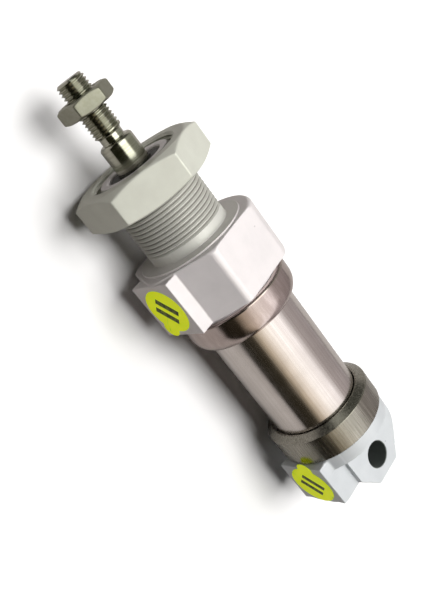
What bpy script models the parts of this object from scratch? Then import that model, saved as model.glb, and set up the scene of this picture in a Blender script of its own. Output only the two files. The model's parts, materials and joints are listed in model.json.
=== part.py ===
"""Round-bodied pneumatic cylinder: 32 mm bore, 25 mm stroke, threaded neck and rear eye.

World +X runs along the cylinder axis towards the rod end, with the origin on the axis at
the front mounting shoulder.  +Y is the side with the two air ports, and +Z is the
direction of the rear eye's hole.  Every piece is modelled about its own Z axis and hangs
under the empty "cylinder_axis", which turns local Z into world X, local X into world Y
and local Y into world Z.  Local heights are therefore distances ahead of the shoulder.
"""
from math import cos, degrees, pi, radians, sin

import bpy
import bmesh
from mathutils import Matrix

MM = 0.001

# Rod and its thread (M10), all heights ahead of the shoulder
ROD_RADIUS = 6.0 * MM
ROD_THREAD_RADIUS = 5.0 * MM
ROD_TIP = 63.1 * MM
ROD_THREAD_END = 43.7 * MM
ROD_UNDERCUT_RADIUS = 4.05 * MM
ROD_SHOULDER = 39.6 * MM
ROD_PISTON_SEAT = -60.8 * MM
ROD_SPIGOT_RADIUS = 4.0 * MM
ROD_SPIGOT_END = -84.2 * MM

# Front cap: neck (M30), turned shoulder, flats and port boss
NECK_RADIUS = 15.0 * MM
NECK_LENGTH = 30.6 * MM
NECK_CHAMFER = 2.0 * MM
SEAT_RADIUS = 19.8 * MM
SEAT_HEIGHT = 0.6 * MM
CAP_RADIUS = 24.0 * MM
CAP_CHAMFER = 0.8 * MM
CAP_FLAT_DISTANCE = 21.25 * MM
CAP_FLAT_ANGLES = (36.0, 96.0, -24.0, -84.0)
CAP_REAR = -22.0 * MM
SEAL_RECESS_RADIUS = 10.2 * MM
SEAL_RECESS_FLOOR = 22.3 * MM
BUSH_BORE_RADIUS = 8.3 * MM
BUSH_BORE_FLOOR = 1.8 * MM
AIR_CHAMBER_RADIUS = 7.7 * MM

# Rear cap: collar, cone, tongue and port boss
COLLAR_RADIUS = 20.5 * MM
COLLAR_FRONT = -90.5 * MM
CONE_BLEND_RADIUS = 14.0 * MM
CONE_BLEND_START = -99.4 * MM
CONE_ANGLE = radians(25.6)
TONGUE_END = -116.4 * MM
TONGUE_END_RADIUS = 13.9 * MM
TONGUE_HALF_THICKNESS = 12.4 * MM
TONGUE_FRONT = -95.8 * MM
TONGUE_STEP = 12.8 * MM
TONGUE_END_HALF_WIDTH = 6.3 * MM
TONGUE_SIDE_ANGLE = radians(38.7)
EYE_RADIUS = 5.0 * MM
EYE_HEIGHT = -107.5 * MM
NUT_POCKET_RADIUS = 9.0 * MM
NUT_POCKET_FLOOR = -86.0 * MM
AIR_DRILL_RADIUS = 2.2 * MM
AIR_DRILL_END = -100.1 * MM

# Port bosses and ports (G1/8)
FRONT_BOSS_TOP = 23.8 * MM
FRONT_BOSS_HALF_WIDTH = 10.2 * MM
FRONT_BOSS_SPAN = (-22.0 * MM, -1.0 * MM)
REAR_BOSS_TOP = 22.6 * MM
REAR_BOSS_HALF_WIDTH = 10.4 * MM
REAR_BOSS_SPAN = (-109.0 * MM, -90.6 * MM)
BOSS_ROOT = 12.8 * MM
PORT_RADIUS = 4.4 * MM
PORT_MOUTH_RADIUS = 5.0 * MM
PORT_DEPTH = 7.5 * MM
PORT_PASSAGE_RADIUS = 1.7 * MM
FRONT_PORT_HEIGHT = -11.5 * MM
REAR_PORT_HEIGHT = -99.8 * MM
REAR_PASSAGE_SHIFT = 1.3 * MM
STICKER_RADIUS = 8.8 * MM
STICKER_THICKNESS = 0.2 * MM
STICKER_GAP = 0.1 * MM
STICKER_TAB_REACH = 12.2 * MM
STICKER_TAB_HALF_WIDTH = 3.2 * MM

# Tube and its clamping rings
TUBE_BORE_RADIUS = 16.0 * MM
TUBE_RADIUS = 17.1 * MM
TUBE_FRONT = -28.9 * MM
TUBE_REAR = -84.0 * MM
SHEET = 1.1 * MM
FLANGE_RADIUS = 19.5 * MM
RING_RADIUS = 21.15 * MM
RING_THROAT_RADIUS = 17.4 * MM
RING_LIP_RADIUS = 18.9 * MM
RING_EDGE_ROUNDING = 0.8 * MM
FRONT_RING_LIP = -23.6 * MM
FRONT_RING_SHOULDER = -29.0 * MM
FRONT_RING_THROAT = -34.7 * MM
REAR_RING_THROAT = -77.9 * MM
REAR_RING_CREST = -79.9 * MM
REAR_RING_CREST_ROUNDING = 0.6 * MM
REAR_RING_LIP = -90.2 * MM
GROOVE_RADIUS = 18.6 * MM

# Spigots that enter the tube
SPIGOT_RADIUS = 15.7 * MM
O_RING_GROOVE_RADIUS = 13.7 * MM
O_RING_GROOVE_HALF_WIDTH = 1.3 * MM
FRONT_O_RING_HEIGHT = -31.3 * MM
FRONT_SPIGOT_END = -33.5 * MM
FRONT_CAP_FLANGE = (-28.6 * MM, -25.0 * MM)
REAR_O_RING_HEIGHT = -81.9 * MM
REAR_SPIGOT_END = -79.5 * MM
REAR_CAP_FLANGE = (-88.8 * MM, -84.3 * MM)
BUMPER_THICKNESS = 1.4 * MM
O_RING_CLEARANCE = 0.2 * MM

# Piston, seated against the rod's shoulder at rest
PISTON_RADIUS = 15.6 * MM
PISTON_FRONT = -61.1 * MM
PISTON_REAR = -77.2 * MM
PISTON_SPLIT = -69.15 * MM
PISTON_BORE_RADIUS = 4.3 * MM
SEAL_LAND = 1.5 * MM
SEAL_GROOVE_WIDTH = 2.8 * MM
SEAL_GROOVE_RADIUS = 12.4 * MM
GUIDE_GROOVE_HALF_WIDTH = 2.55 * MM
GUIDE_GROOVE_RADIUS = 12.9 * MM
PISTON_CHAMFER = 0.7 * MM
PISTON_O_RING_GROOVE_START = 3.3 * MM
PISTON_O_RING_GROOVE_WIDTH = 2.0 * MM
PISTON_O_RING_GROOVE_DEPTH = 1.3 * MM
PISTON_O_RING_RADIUS = 4.8 * MM
PISTON_O_RING_THICKNESS = 1.4 * MM
WASHER_RADIUS = 8.0 * MM

# Rod wiper and rod seal in the neck's recess
WIPER_SPAN = (26.5 * MM, 29.9 * MM)
WIPER_HEEL_RADIUS = 7.2 * MM
WIPER_HEEL_HEIGHT = 1.6 * MM
SEAL_CUP_DEPTH = 1.8 * MM

# Nuts
MOUNTING_NUT_SPAN = (19.3 * MM, 31.3 * MM)
MOUNTING_NUT_FLATS = 42.0 * MM
MOUNTING_NUT_CLOCKING = -2.5
LOCK_NUT_SPAN = (51.8 * MM, 57.2 * MM)
LOCK_NUT_FLATS = 17.0 * MM
LOCK_NUT_CLOCKING = 4.7
PISTON_NUT_SPAN = (-83.0 * MM, -78.8 * MM)
PISTON_NUT_FLATS = 13.0 * MM
MOUNTING_NUT_CHAMFERS = (1.5 * MM, 2.1 * MM)
LOCK_NUT_CHAMFERS = (0.9 * MM, 0.9 * MM)
PISTON_NUT_CHAMFERS = (0.6 * MM, 0.6 * MM)
NUT_FACE_SHARE = 0.97
NUT_LEAD_SHARE = 0.8

GAP = 0.3 * MM
RUNNING_GAP = 0.15 * MM
MERGE = 0.00001
COARSE_STEPS = 24
FINE_STEPS = 40
CUT_REACH = 40.0 * MM
SMOOTH_ANGLE = radians(35.0)

PARTS_NAME = "pneumatic_cylinder"
CUTTERS_NAME = "cutters"

# name: (colour, metallic, roughness)
MATERIALS = {
    "cap_aluminium": ((0.62, 0.61, 0.59), 0.7, 0.45),
    "nut_aluminium": ((0.60, 0.60, 0.56), 0.7, 0.45),
    "stainless_tube": ((0.58, 0.55, 0.52), 1.0, 0.25),
    "stainless_ring": ((0.42, 0.38, 0.37), 1.0, 0.3),
    "rod_steel": ((0.50, 0.47, 0.42), 1.0, 0.2),
    "lock_nut_steel": ((0.55, 0.54, 0.47), 1.0, 0.4),
    "sticker_yellow": ((0.62, 0.72, 0.03), 0.0, 0.4),
    "black_rubber": ((0.02, 0.02, 0.02), 0.0, 0.7),
    "green_rubber": ((0.03, 0.16, 0.09), 0.0, 0.6),
    "bronze_bush": ((0.45, 0.30, 0.14), 1.0, 0.5),
    "dark_magnet": ((0.07, 0.07, 0.08), 0.0, 0.6),
    "white_guide": ((0.75, 0.74, 0.70), 0.0, 0.5),
    "piston_aluminium": ((0.70, 0.70, 0.71), 1.0, 0.35),
    "zinc_steel": ((0.60, 0.60, 0.62), 1.0, 0.35),
}


def clear_scene():
    """Empty the scene without resetting the session."""
    for item in list(bpy.data.objects):
        bpy.data.objects.remove(item, do_unlink=True)
    for group in list(bpy.data.collections):
        bpy.data.collections.remove(group)


def make_collection(name):
    """Add a collection to the scene."""
    group = bpy.data.collections.new(name)
    bpy.context.scene.collection.children.link(group)
    return group


def make_material(name):
    """Principled material with the colour, metallic value and roughness of the table."""
    colour, metallic, roughness = MATERIALS[name]
    material = bpy.data.materials.new(name)
    material.use_nodes = True
    shader = material.node_tree.nodes["Principled BSDF"]
    shader.inputs["Base Color"].default_value = (*colour, 1.0)
    shader.inputs["Metallic"].default_value = metallic
    shader.inputs["Roughness"].default_value = roughness
    material.diffuse_color = (*colour, 1.0)
    return material


def place(item, collection, parent, material=None):
    """Put an object in its collection, under its parent, with its material."""
    for group in list(item.users_collection):
        group.objects.unlink(item)
    bpy.data.collections[collection].objects.link(item)
    item.parent = bpy.data.objects[parent]
    if material is not None:
        item.data.materials.clear()
        item.data.materials.append(bpy.data.materials[material])
    return item


def as_cutter(item):
    """Mark an object as a Boolean operand."""
    item.hide_render = True
    item.display_type = "WIRE"
    return item


def arc(centre, radii, start, end, count):
    """Points of an elliptical arc in the profile plane, angles in degrees from +r."""
    points = []
    for index in range(count + 1):
        angle = radians(start + (end - start) * index / count)
        points.append((centre[0] + radii[0] * cos(angle), centre[1] + radii[1] * sin(angle)))
    return points


def profile_mesh(name, profile, closed):
    """Edge chain of (radius, height) points, ready for a Screw modifier."""
    mesh = bpy.data.meshes.new(name)
    shape = bmesh.new()
    corners = [shape.verts.new((radius, 0.0, height)) for radius, height in profile]
    for first, second in zip(corners, corners[1:]):
        shape.edges.new((first, second))
    if closed:
        shape.edges.new((corners[-1], corners[0]))
    shape.to_mesh(mesh)
    shape.free()
    return mesh


def turned(name, profile, steps=COARSE_STEPS):
    """Body of revolution; a profile that touches the axis at both ends is a solid one."""
    solid = profile[0][0] == 0.0
    item = bpy.data.objects.new(name, profile_mesh(name, profile, not solid))
    bpy.context.scene.collection.objects.link(item)
    screw = item.modifiers.new("Turn", "SCREW")
    screw.steps = steps
    screw.render_steps = steps
    screw.use_merge_vertices = True
    screw.merge_threshold = MERGE
    screw.use_smooth_shade = False
    return item


def turned_part(name, profile, material, parent, steps=COARSE_STEPS):
    """Turned piece of the assembly."""
    return place(turned(name, profile, steps), PARTS_NAME, parent, material)


def boolean(target, operand, operation):
    """Exact Boolean modifier."""
    modifier = target.modifiers.new(operation.title(), "BOOLEAN")
    modifier.operation = operation
    modifier.solver = "EXACT"
    modifier.object = operand
    return modifier


def box(name, low, high, parent, clocking=0.0):
    """Box cutter between two corners, turned about the cylinder axis by clocking degrees."""
    bpy.ops.mesh.primitive_cube_add(size=1.0)
    item = bpy.context.object
    item.name = name
    size = [top - bottom for bottom, top in zip(low, high)]
    middle = [(top + bottom) / 2 for bottom, top in zip(low, high)]
    item.data.transform(Matrix.Translation(middle) @ Matrix.Diagonal((*size, 1.0)))
    place(item, CUTTERS_NAME, parent)
    item.rotation_euler.z = radians(clocking)
    return as_cutter(item)


def hexagon(name, flats, span, parent, clocking):
    """Hexagonal prism cutter with a flat's normal at the clocking angle."""
    bpy.ops.mesh.primitive_cylinder_add(
        vertices=6, radius=flats / 2 / cos(pi / 6), depth=span[1] - span[0])
    item = bpy.context.object
    item.name = name
    item.data.transform(Matrix.Translation((0.0, 0.0, (span[0] + span[1]) / 2)))
    place(item, CUTTERS_NAME, parent)
    item.rotation_euler.z = radians(clocking)
    return as_cutter(item)


def hexagon_nut(name, flats, span, bore, chamfers, material, parent, clocking, steps):
    """Nut: a turned ring with chamfered ends, cut to a hexagon."""
    low, high = span
    low_chamfer, high_chamfer = chamfers
    corner = flats / 2 / cos(pi / 6) + low_chamfer / 4
    face = flats / 2 * NUT_FACE_SHARE
    lead = low_chamfer * NUT_LEAD_SHARE
    profile = [
        (face, high), (corner, high - high_chamfer), (corner, low + low_chamfer), (face, low),
        (bore + lead, low), (bore, low + lead), (bore, high - lead), (bore + lead, high),
    ]
    nut = turned_part(name, profile, material, parent, steps)
    prism_span = (low - low_chamfer, high + high_chamfer)
    prism = hexagon(name + "_hexagon", flats, prism_span, parent, clocking)
    boolean(nut, prism, "INTERSECT")
    return nut


def drill(name, profile, location, rotation, parent):
    """Turned cutter laid across the cylinder."""
    item = place(turned(name, profile), CUTTERS_NAME, parent)
    item.location = location
    item.rotation_euler = rotation
    return as_cutter(item)


def port_drill(name, boss_top, height, passage_shift, passage_end, parent):
    """Port with a countersunk mouth, and the air passage from its floor inwards."""
    above = boss_top + GAP
    floor = boss_top - PORT_DEPTH
    across = (0.0, pi / 2, 0.0)
    port = drill(
        name + "_port",
        [(0.0, above), (PORT_MOUTH_RADIUS + GAP, above),
         (PORT_RADIUS, boss_top - (PORT_MOUTH_RADIUS - PORT_RADIUS)),
         (PORT_RADIUS, floor), (0.0, floor)],
        (0.0, 0.0, height), across, parent)
    overlap = floor + GAP
    passage = drill(
        name + "_passage",
        [(0.0, overlap), (PORT_PASSAGE_RADIUS, overlap),
         (PORT_PASSAGE_RADIUS, passage_end), (0.0, passage_end)],
        (0.0, 0.0, height + passage_shift), across, parent)
    return port, passage


def front_cap(parent):
    """Neck, mounting shoulder, spanner flats, port boss and the spigot inside the tube."""
    flange_rear, flange_front = FRONT_CAP_FLANGE
    groove_top = FRONT_O_RING_HEIGHT + O_RING_GROOVE_HALF_WIDTH
    groove_floor = FRONT_O_RING_HEIGHT - O_RING_GROOVE_HALF_WIDTH
    mouth = 0.5 * MM
    profile = [
        (NECK_RADIUS - NECK_CHAMFER, NECK_LENGTH),
        (NECK_RADIUS, NECK_LENGTH - NECK_CHAMFER),
        (NECK_RADIUS, 0.0),
        (SEAT_RADIUS, 0.0),
        (SEAT_RADIUS, -SEAT_HEIGHT),
        (CAP_RADIUS - CAP_CHAMFER, -SEAT_HEIGHT),
        (CAP_RADIUS, -SEAT_HEIGHT - CAP_CHAMFER),
        (CAP_RADIUS, CAP_REAR),
        (GROOVE_RADIUS, CAP_REAR),
        (GROOVE_RADIUS, flange_front),
        (FLANGE_RADIUS, flange_front),
        (FLANGE_RADIUS, flange_rear),
        (SPIGOT_RADIUS, flange_rear),
        (SPIGOT_RADIUS, groove_top),
        (O_RING_GROOVE_RADIUS, groove_top),
        (O_RING_GROOVE_RADIUS, groove_floor),
        (SPIGOT_RADIUS, groove_floor),
        (SPIGOT_RADIUS, FRONT_SPIGOT_END),
        (AIR_CHAMBER_RADIUS, FRONT_SPIGOT_END),
        (AIR_CHAMBER_RADIUS, BUSH_BORE_FLOOR),
        (BUSH_BORE_RADIUS, BUSH_BORE_FLOOR),
        (BUSH_BORE_RADIUS, SEAL_RECESS_FLOOR),
        (SEAL_RECESS_RADIUS, SEAL_RECESS_FLOOR),
        (SEAL_RECESS_RADIUS, NECK_LENGTH - mouth),
        (SEAL_RECESS_RADIUS + mouth, NECK_LENGTH),
    ]
    cap = turned_part("front_cap", profile, "cap_aluminium", parent, FINE_STEPS)
    for angle in CAP_FLAT_ANGLES:
        flat = box(
            "front_cap_flat", (CAP_FLAT_DISTANCE, -CUT_REACH, CAP_REAR - MM),
            (CUT_REACH, CUT_REACH, MM), parent, angle)
        boolean(cap, flat, "DIFFERENCE")
    boss = box(
        "front_cap_boss", (BOSS_ROOT, -FRONT_BOSS_HALF_WIDTH, FRONT_BOSS_SPAN[0]),
        (FRONT_BOSS_TOP, FRONT_BOSS_HALF_WIDTH, FRONT_BOSS_SPAN[1]), parent)
    boolean(cap, boss, "UNION")
    passage_end = AIR_CHAMBER_RADIUS * 0.9
    for cutter in port_drill(
            "front_cap", FRONT_BOSS_TOP, FRONT_PORT_HEIGHT, 0.0, passage_end, parent):
        boolean(cap, cutter, "DIFFERENCE")
    return cap


def rear_cap(parent):
    """Spigot, flange, collar, cone with two milled faces and end chamfers, eye and boss."""
    flange_rear, flange_front = REAR_CAP_FLANGE
    groove_top = REAR_O_RING_HEIGHT + O_RING_GROOVE_HALF_WIDTH
    groove_floor = REAR_O_RING_HEIGHT - O_RING_GROOVE_HALF_WIDTH
    blend_centre = (COLLAR_RADIUS - CONE_BLEND_RADIUS, CONE_BLEND_START)
    blend_radii = (CONE_BLEND_RADIUS, -CONE_BLEND_RADIUS)
    blend_end = degrees(CONE_ANGLE)
    profile = [
        (0.0, AIR_DRILL_END),
        (AIR_DRILL_RADIUS, AIR_DRILL_END),
        (AIR_DRILL_RADIUS, NUT_POCKET_FLOOR),
        (NUT_POCKET_RADIUS, NUT_POCKET_FLOOR),
        (NUT_POCKET_RADIUS, REAR_SPIGOT_END),
        (SPIGOT_RADIUS, REAR_SPIGOT_END),
        (SPIGOT_RADIUS, groove_top),
        (O_RING_GROOVE_RADIUS, groove_top),
        (O_RING_GROOVE_RADIUS, groove_floor),
        (SPIGOT_RADIUS, groove_floor),
        (SPIGOT_RADIUS, flange_front),
        (FLANGE_RADIUS, flange_front),
        (FLANGE_RADIUS, flange_rear),
        (GROOVE_RADIUS, flange_rear),
        (GROOVE_RADIUS, COLLAR_FRONT),
        (COLLAR_RADIUS, COLLAR_FRONT),
        *arc(blend_centre, blend_radii, 0.0, blend_end, 4),
        (TONGUE_END_RADIUS, TONGUE_END),
        (0.0, TONGUE_END),
    ]
    cap = turned_part("rear_cap", profile, "cap_aluminium", parent, FINE_STEPS)
    low = TONGUE_END - MM
    for side, label in ((1.0, "upper"), (-1.0, "lower")):
        near = side * TONGUE_HALF_THICKNESS
        far = side * CUT_REACH
        face = box(
            label + "_tongue_face", (-CUT_REACH, min(near, far), low),
            (CUT_REACH, max(near, far), TONGUE_FRONT), parent)
        boolean(cap, face, "DIFFERENCE")
        near = side * REAR_BOSS_HALF_WIDTH
        step = box(
            label + "_tongue_step", (TONGUE_STEP, min(near, far), low - MM),
            (CUT_REACH + MM, max(near, far), TONGUE_FRONT), parent)
        boolean(cap, step, "DIFFERENCE")
    for side, label, turn in (
            (1.0, "port", TONGUE_SIDE_ANGLE), (-1.0, "plain", pi - TONGUE_SIDE_ANGLE)):
        chamfer = box(
            label + "_side_tongue_chamfer", (0.0, -CUT_REACH, -CUT_REACH),
            (CUT_REACH, CUT_REACH, CUT_REACH), parent)
        chamfer.location = (side * TONGUE_END_HALF_WIDTH, 0.0, TONGUE_END)
        chamfer.rotation_euler.y = turn
        boolean(cap, chamfer, "DIFFERENCE")
    boss = box(
        "rear_cap_boss", (BOSS_ROOT, -REAR_BOSS_HALF_WIDTH, REAR_BOSS_SPAN[0]),
        (REAR_BOSS_TOP, REAR_BOSS_HALF_WIDTH, REAR_BOSS_SPAN[1]), parent)
    boolean(cap, boss, "UNION")
    passage_end = AIR_DRILL_RADIUS * 0.3
    for cutter in port_drill(
            "rear_cap", REAR_BOSS_TOP, REAR_PORT_HEIGHT, REAR_PASSAGE_SHIFT, passage_end,
            parent):
        boolean(cap, cutter, "DIFFERENCE")
    through = TONGUE_HALF_THICKNESS + MM
    eye = drill(
        "rear_cap_eye",
        [(0.0, through), (EYE_RADIUS, through), (EYE_RADIUS, -through), (0.0, -through)],
        (0.0, 0.0, EYE_HEIGHT), (pi / 2, 0.0, 0.0), parent)
    boolean(cap, eye, "DIFFERENCE")
    return cap


def barrel_tube(parent):
    """Thin tube with an outward flange rolled at each end."""
    bend = 1.0 * MM
    profile = [
        (FLANGE_RADIUS, TUBE_FRONT),
        (FLANGE_RADIUS, TUBE_FRONT - SHEET),
        (TUBE_RADIUS + bend, TUBE_FRONT - SHEET),
        (TUBE_RADIUS, TUBE_FRONT - SHEET - bend),
        (TUBE_RADIUS, TUBE_REAR + SHEET + bend),
        (TUBE_RADIUS + bend, TUBE_REAR + SHEET),
        (FLANGE_RADIUS, TUBE_REAR + SHEET),
        (FLANGE_RADIUS, TUBE_REAR),
        (TUBE_BORE_RADIUS, TUBE_REAR),
        (TUBE_BORE_RADIUS, TUBE_FRONT),
    ]
    return turned_part("barrel_tube", profile, "stainless_tube", parent, FINE_STEPS)


def crimp_ring(name, lip, side, closing, parent):
    """Rolled sheet ring: an inward lip, a cylinder, and an end that closes on the tube."""
    corner = (RING_RADIUS - RING_EDGE_ROUNDING, lip - side * RING_EDGE_ROUNDING)
    corner_radii = (RING_EDGE_ROUNDING, side * RING_EDGE_ROUNDING)
    profile = [
        (RING_LIP_RADIUS, lip),
        *arc(corner, corner_radii, 90.0, 0.0, 2),
        *closing,
        (RING_RADIUS - SHEET, lip - side * SHEET),
        (RING_LIP_RADIUS, lip - side * SHEET),
    ]
    if side < 0.0:
        profile.reverse()
    return turned_part(name, profile, "stainless_ring", parent, FINE_STEPS)


def bowl(shoulder, throat):
    """Outline of the front ring's smooth bowl, out to the throat and back inside."""
    centre = (RING_THROAT_RADIUS, shoulder)
    depth = throat - shoulder
    outer_radii = (RING_RADIUS - RING_THROAT_RADIUS, depth)
    inner_radii = (RING_RADIUS - SHEET - RING_THROAT_RADIUS, depth + SHEET)
    return [*arc(centre, outer_radii, 0.0, 90.0, 5), *arc(centre, inner_radii, 90.0, 0.0, 4)]


def cone(crest, throat):
    """Outline of the rear ring's cone behind a crest, out to the throat and back inside."""
    rounding = REAR_RING_CREST_ROUNDING
    shoulder = (RING_RADIUS - rounding, crest - rounding)
    inner_radius = RING_RADIUS - SHEET
    return [
        *arc(shoulder, (rounding, rounding), 0.0, 90.0, 2),
        (RING_THROAT_RADIUS, throat), (RING_THROAT_RADIUS, throat - SHEET),
        (inner_radius - rounding, crest - SHEET), (inner_radius, crest - SHEET - rounding),
    ]


def piston_rod(parent):
    """Rod with its threaded end, undercut, shoulder, and the spigot that holds the piston."""
    tip_chamfer = 0.9 * MM
    shoulder_chamfer = 0.8 * MM
    end_chamfer = 0.5 * MM
    profile = [
        (0.0, ROD_TIP),
        (ROD_THREAD_RADIUS - tip_chamfer, ROD_TIP),
        (ROD_THREAD_RADIUS, ROD_TIP - tip_chamfer),
        (ROD_THREAD_RADIUS, ROD_THREAD_END),
        (ROD_UNDERCUT_RADIUS, ROD_THREAD_END - shoulder_chamfer),
        (ROD_UNDERCUT_RADIUS, ROD_SHOULDER + shoulder_chamfer),
        (ROD_RADIUS - shoulder_chamfer, ROD_SHOULDER + shoulder_chamfer),
        (ROD_RADIUS, ROD_SHOULDER),
        (ROD_RADIUS, ROD_PISTON_SEAT),
        (ROD_SPIGOT_RADIUS, ROD_PISTON_SEAT),
        (ROD_SPIGOT_RADIUS, ROD_SPIGOT_END + end_chamfer),
        (ROD_SPIGOT_RADIUS - end_chamfer, ROD_SPIGOT_END),
        (0.0, ROD_SPIGOT_END),
    ]
    return turned_part("piston_rod", profile, "rod_steel", parent)


def ring_section(inner, outer, low, high):
    """Rectangular ring profile."""
    return [(outer, high), (outer, low), (inner, low), (inner, high)]


def o_ring(name, radius, thickness, height, parent):
    """Torus that lies in its groove."""
    bpy.ops.mesh.primitive_torus_add(
        major_segments=COARSE_STEPS, minor_segments=8,
        major_radius=radius, minor_radius=thickness / 2)
    item = bpy.context.object
    item.name = name
    item.data.transform(Matrix.Translation((0.0, 0.0, height)))
    return place(item, PARTS_NAME, parent, "black_rubber")


def rod_guidance(parent):
    """Wiper, rod seal and bearing bush in the neck."""
    outer = SEAL_RECESS_RADIUS - GAP
    lip = ROD_RADIUS + RUNNING_GAP
    wiper_low, wiper_high = WIPER_SPAN
    edge = 0.6 * MM
    lip_land = 0.4 * MM
    lip_width = 0.5 * MM
    wiper = [
        (outer, wiper_high - edge), (outer, wiper_low), (WIPER_HEEL_RADIUS, wiper_low),
        (WIPER_HEEL_RADIUS, wiper_low + WIPER_HEEL_HEIGHT), (lip, wiper_high - lip_land),
        (lip + lip_width, wiper_high), (outer - edge, wiper_high),
    ]
    turned_part("rod_wiper_seal", wiper, "black_rubber", parent)
    seal_low = SEAL_RECESS_FLOOR + GAP
    seal_high = wiper_low - GAP
    cup = seal_low + SEAL_CUP_DEPTH
    middle = (outer + lip) / 2
    flank = 0.7 * MM
    back = 0.4 * MM
    half_web = 0.5 * MM
    seal = [
        (outer, seal_high), (outer, seal_low), (outer - flank, seal_low),
        (middle + half_web, cup), (middle - half_web, cup), (lip + flank, seal_low),
        (lip, seal_low), (lip + back, cup), (lip + back, seal_high),
    ]
    turned_part("rod_seal", seal, "green_rubber", parent)
    bush = ring_section(
        lip, BUSH_BORE_RADIUS - GAP, BUSH_BORE_FLOOR + GAP, SEAL_RECESS_FLOOR - GAP)
    turned_part("rod_bearing_bush", bush, "bronze_bush", parent)


def static_seals(parent):
    """Cap O-rings and the elastic rings that stop the piston."""
    middle = (O_RING_GROOVE_RADIUS + TUBE_BORE_RADIUS) / 2
    thickness = TUBE_BORE_RADIUS - O_RING_GROOVE_RADIUS - O_RING_CLEARANCE
    o_ring("front_cap_o_ring", middle, thickness, FRONT_O_RING_HEIGHT, parent)
    o_ring("rear_cap_o_ring", middle, thickness, REAR_O_RING_HEIGHT, parent)
    outer = SPIGOT_RADIUS - RUNNING_GAP
    high = FRONT_SPIGOT_END - GAP
    front = ring_section(AIR_CHAMBER_RADIUS + GAP, outer, high - BUMPER_THICKNESS, high)
    turned_part("front_bumper", front, "black_rubber", parent)
    low = REAR_SPIGOT_END + GAP
    rear = ring_section(NUT_POCKET_RADIUS + GAP, outer, low, low + BUMPER_THICKNESS)
    turned_part("rear_bumper", rear, "black_rubber", parent)


def piston_half(name, face, split, o_ring_groove, parent):
    """Half of the piston, with a seal groove and half of the guide groove."""
    side = 1.0 if face > split else -1.0
    seal_start = face - side * SEAL_LAND
    seal_end = seal_start - side * SEAL_GROOVE_WIDTH
    guide_start = (PISTON_FRONT + PISTON_REAR) / 2 + side * GUIDE_GROOVE_HALF_WIDTH
    profile = [
        (PISTON_RADIUS - PISTON_CHAMFER, face),
        (PISTON_RADIUS, face - side * PISTON_CHAMFER),
        (PISTON_RADIUS, seal_start),
        (SEAL_GROOVE_RADIUS, seal_start),
        (SEAL_GROOVE_RADIUS, seal_end),
        (PISTON_RADIUS, seal_end),
        (PISTON_RADIUS, guide_start),
        (GUIDE_GROOVE_RADIUS, guide_start),
        (GUIDE_GROOVE_RADIUS, split),
        (PISTON_BORE_RADIUS, split),
    ]
    if o_ring_groove:
        groove_radius = PISTON_BORE_RADIUS + PISTON_O_RING_GROOVE_DEPTH
        start = face - side * PISTON_O_RING_GROOVE_START
        end = start - side * PISTON_O_RING_GROOVE_WIDTH
        profile += [
            (PISTON_BORE_RADIUS, end), (groove_radius, end),
            (groove_radius, start), (PISTON_BORE_RADIUS, start),
        ]
    profile.append((PISTON_BORE_RADIUS, face))
    if side < 0.0:
        profile.reverse()
    turned_part(name, profile, "piston_aluminium", parent)


def lip_seal(name, low, side, parent):
    """Piston lip seal in its groove; the lip opens towards side."""
    bottom = low + GAP
    top = low + SEAL_GROOVE_WIDTH - GAP
    inner = SEAL_GROOVE_RADIUS + GAP
    outer = TUBE_BORE_RADIUS - RUNNING_GAP
    middle = (inner + outer) / 2
    depth = 1.1 * MM
    taper = 0.5 * MM
    lip = 0.6 * MM
    offset = 0.4 * MM
    profile = [
        (outer, top), (outer - taper, bottom), (inner, bottom),
        (inner, top), (middle - offset, top - depth), (outer - lip, top),
    ]
    if side < 0.0:
        profile = [(radius, top + bottom - height) for radius, height in reversed(profile)]
    turned_part(name, profile, "green_rubber", parent)


def piston(parent, ring_parent):
    """Piston halves with what they hold: seals, magnet, guide ring, O-ring and nut."""
    half_gap = GAP / 2
    piston_half("piston_front_half", PISTON_FRONT, PISTON_SPLIT + half_gap, True, parent)
    piston_half("piston_rear_half", PISTON_REAR, PISTON_SPLIT - half_gap, False, parent)
    lip_seal(
        "front_piston_seal", PISTON_FRONT - SEAL_LAND - SEAL_GROOVE_WIDTH, 1.0, ring_parent)
    lip_seal("rear_piston_seal", PISTON_REAR + SEAL_LAND, -1.0, ring_parent)
    inner = GUIDE_GROOVE_RADIUS + GAP
    magnet_high = PISTON_SPLIT + GUIDE_GROOVE_HALF_WIDTH - GAP
    guide_low = PISTON_SPLIT - GUIDE_GROOVE_HALF_WIDTH + GAP
    magnet = ring_section(inner, PISTON_RADIUS - RUNNING_GAP, PISTON_SPLIT + GAP / 2, magnet_high)
    turned_part("magnet_ring", magnet, "dark_magnet", ring_parent)
    guide_outer = TUBE_BORE_RADIUS - RUNNING_GAP
    guide = ring_section(inner, guide_outer, guide_low, PISTON_SPLIT - GAP / 2)
    turned_part("wear_ring", guide, "white_guide", ring_parent)
    groove_middle = PISTON_FRONT - PISTON_O_RING_GROOVE_START - PISTON_O_RING_GROOVE_WIDTH / 2
    o_ring(
        "piston_o_ring", PISTON_O_RING_RADIUS, PISTON_O_RING_THICKNESS, groove_middle, parent)
    washer_high = PISTON_REAR - GAP
    washer_low = PISTON_NUT_SPAN[1] + GAP
    washer = ring_section(PISTON_BORE_RADIUS, WASHER_RADIUS, washer_low, washer_high)
    turned_part("piston_washer", washer, "zinc_steel", parent)
    hexagon_nut(
        "piston_nut", PISTON_NUT_FLATS, PISTON_NUT_SPAN, PISTON_BORE_RADIUS,
        PISTON_NUT_CHAMFERS, "zinc_steel", parent, 0.0, COARSE_STEPS)


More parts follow.
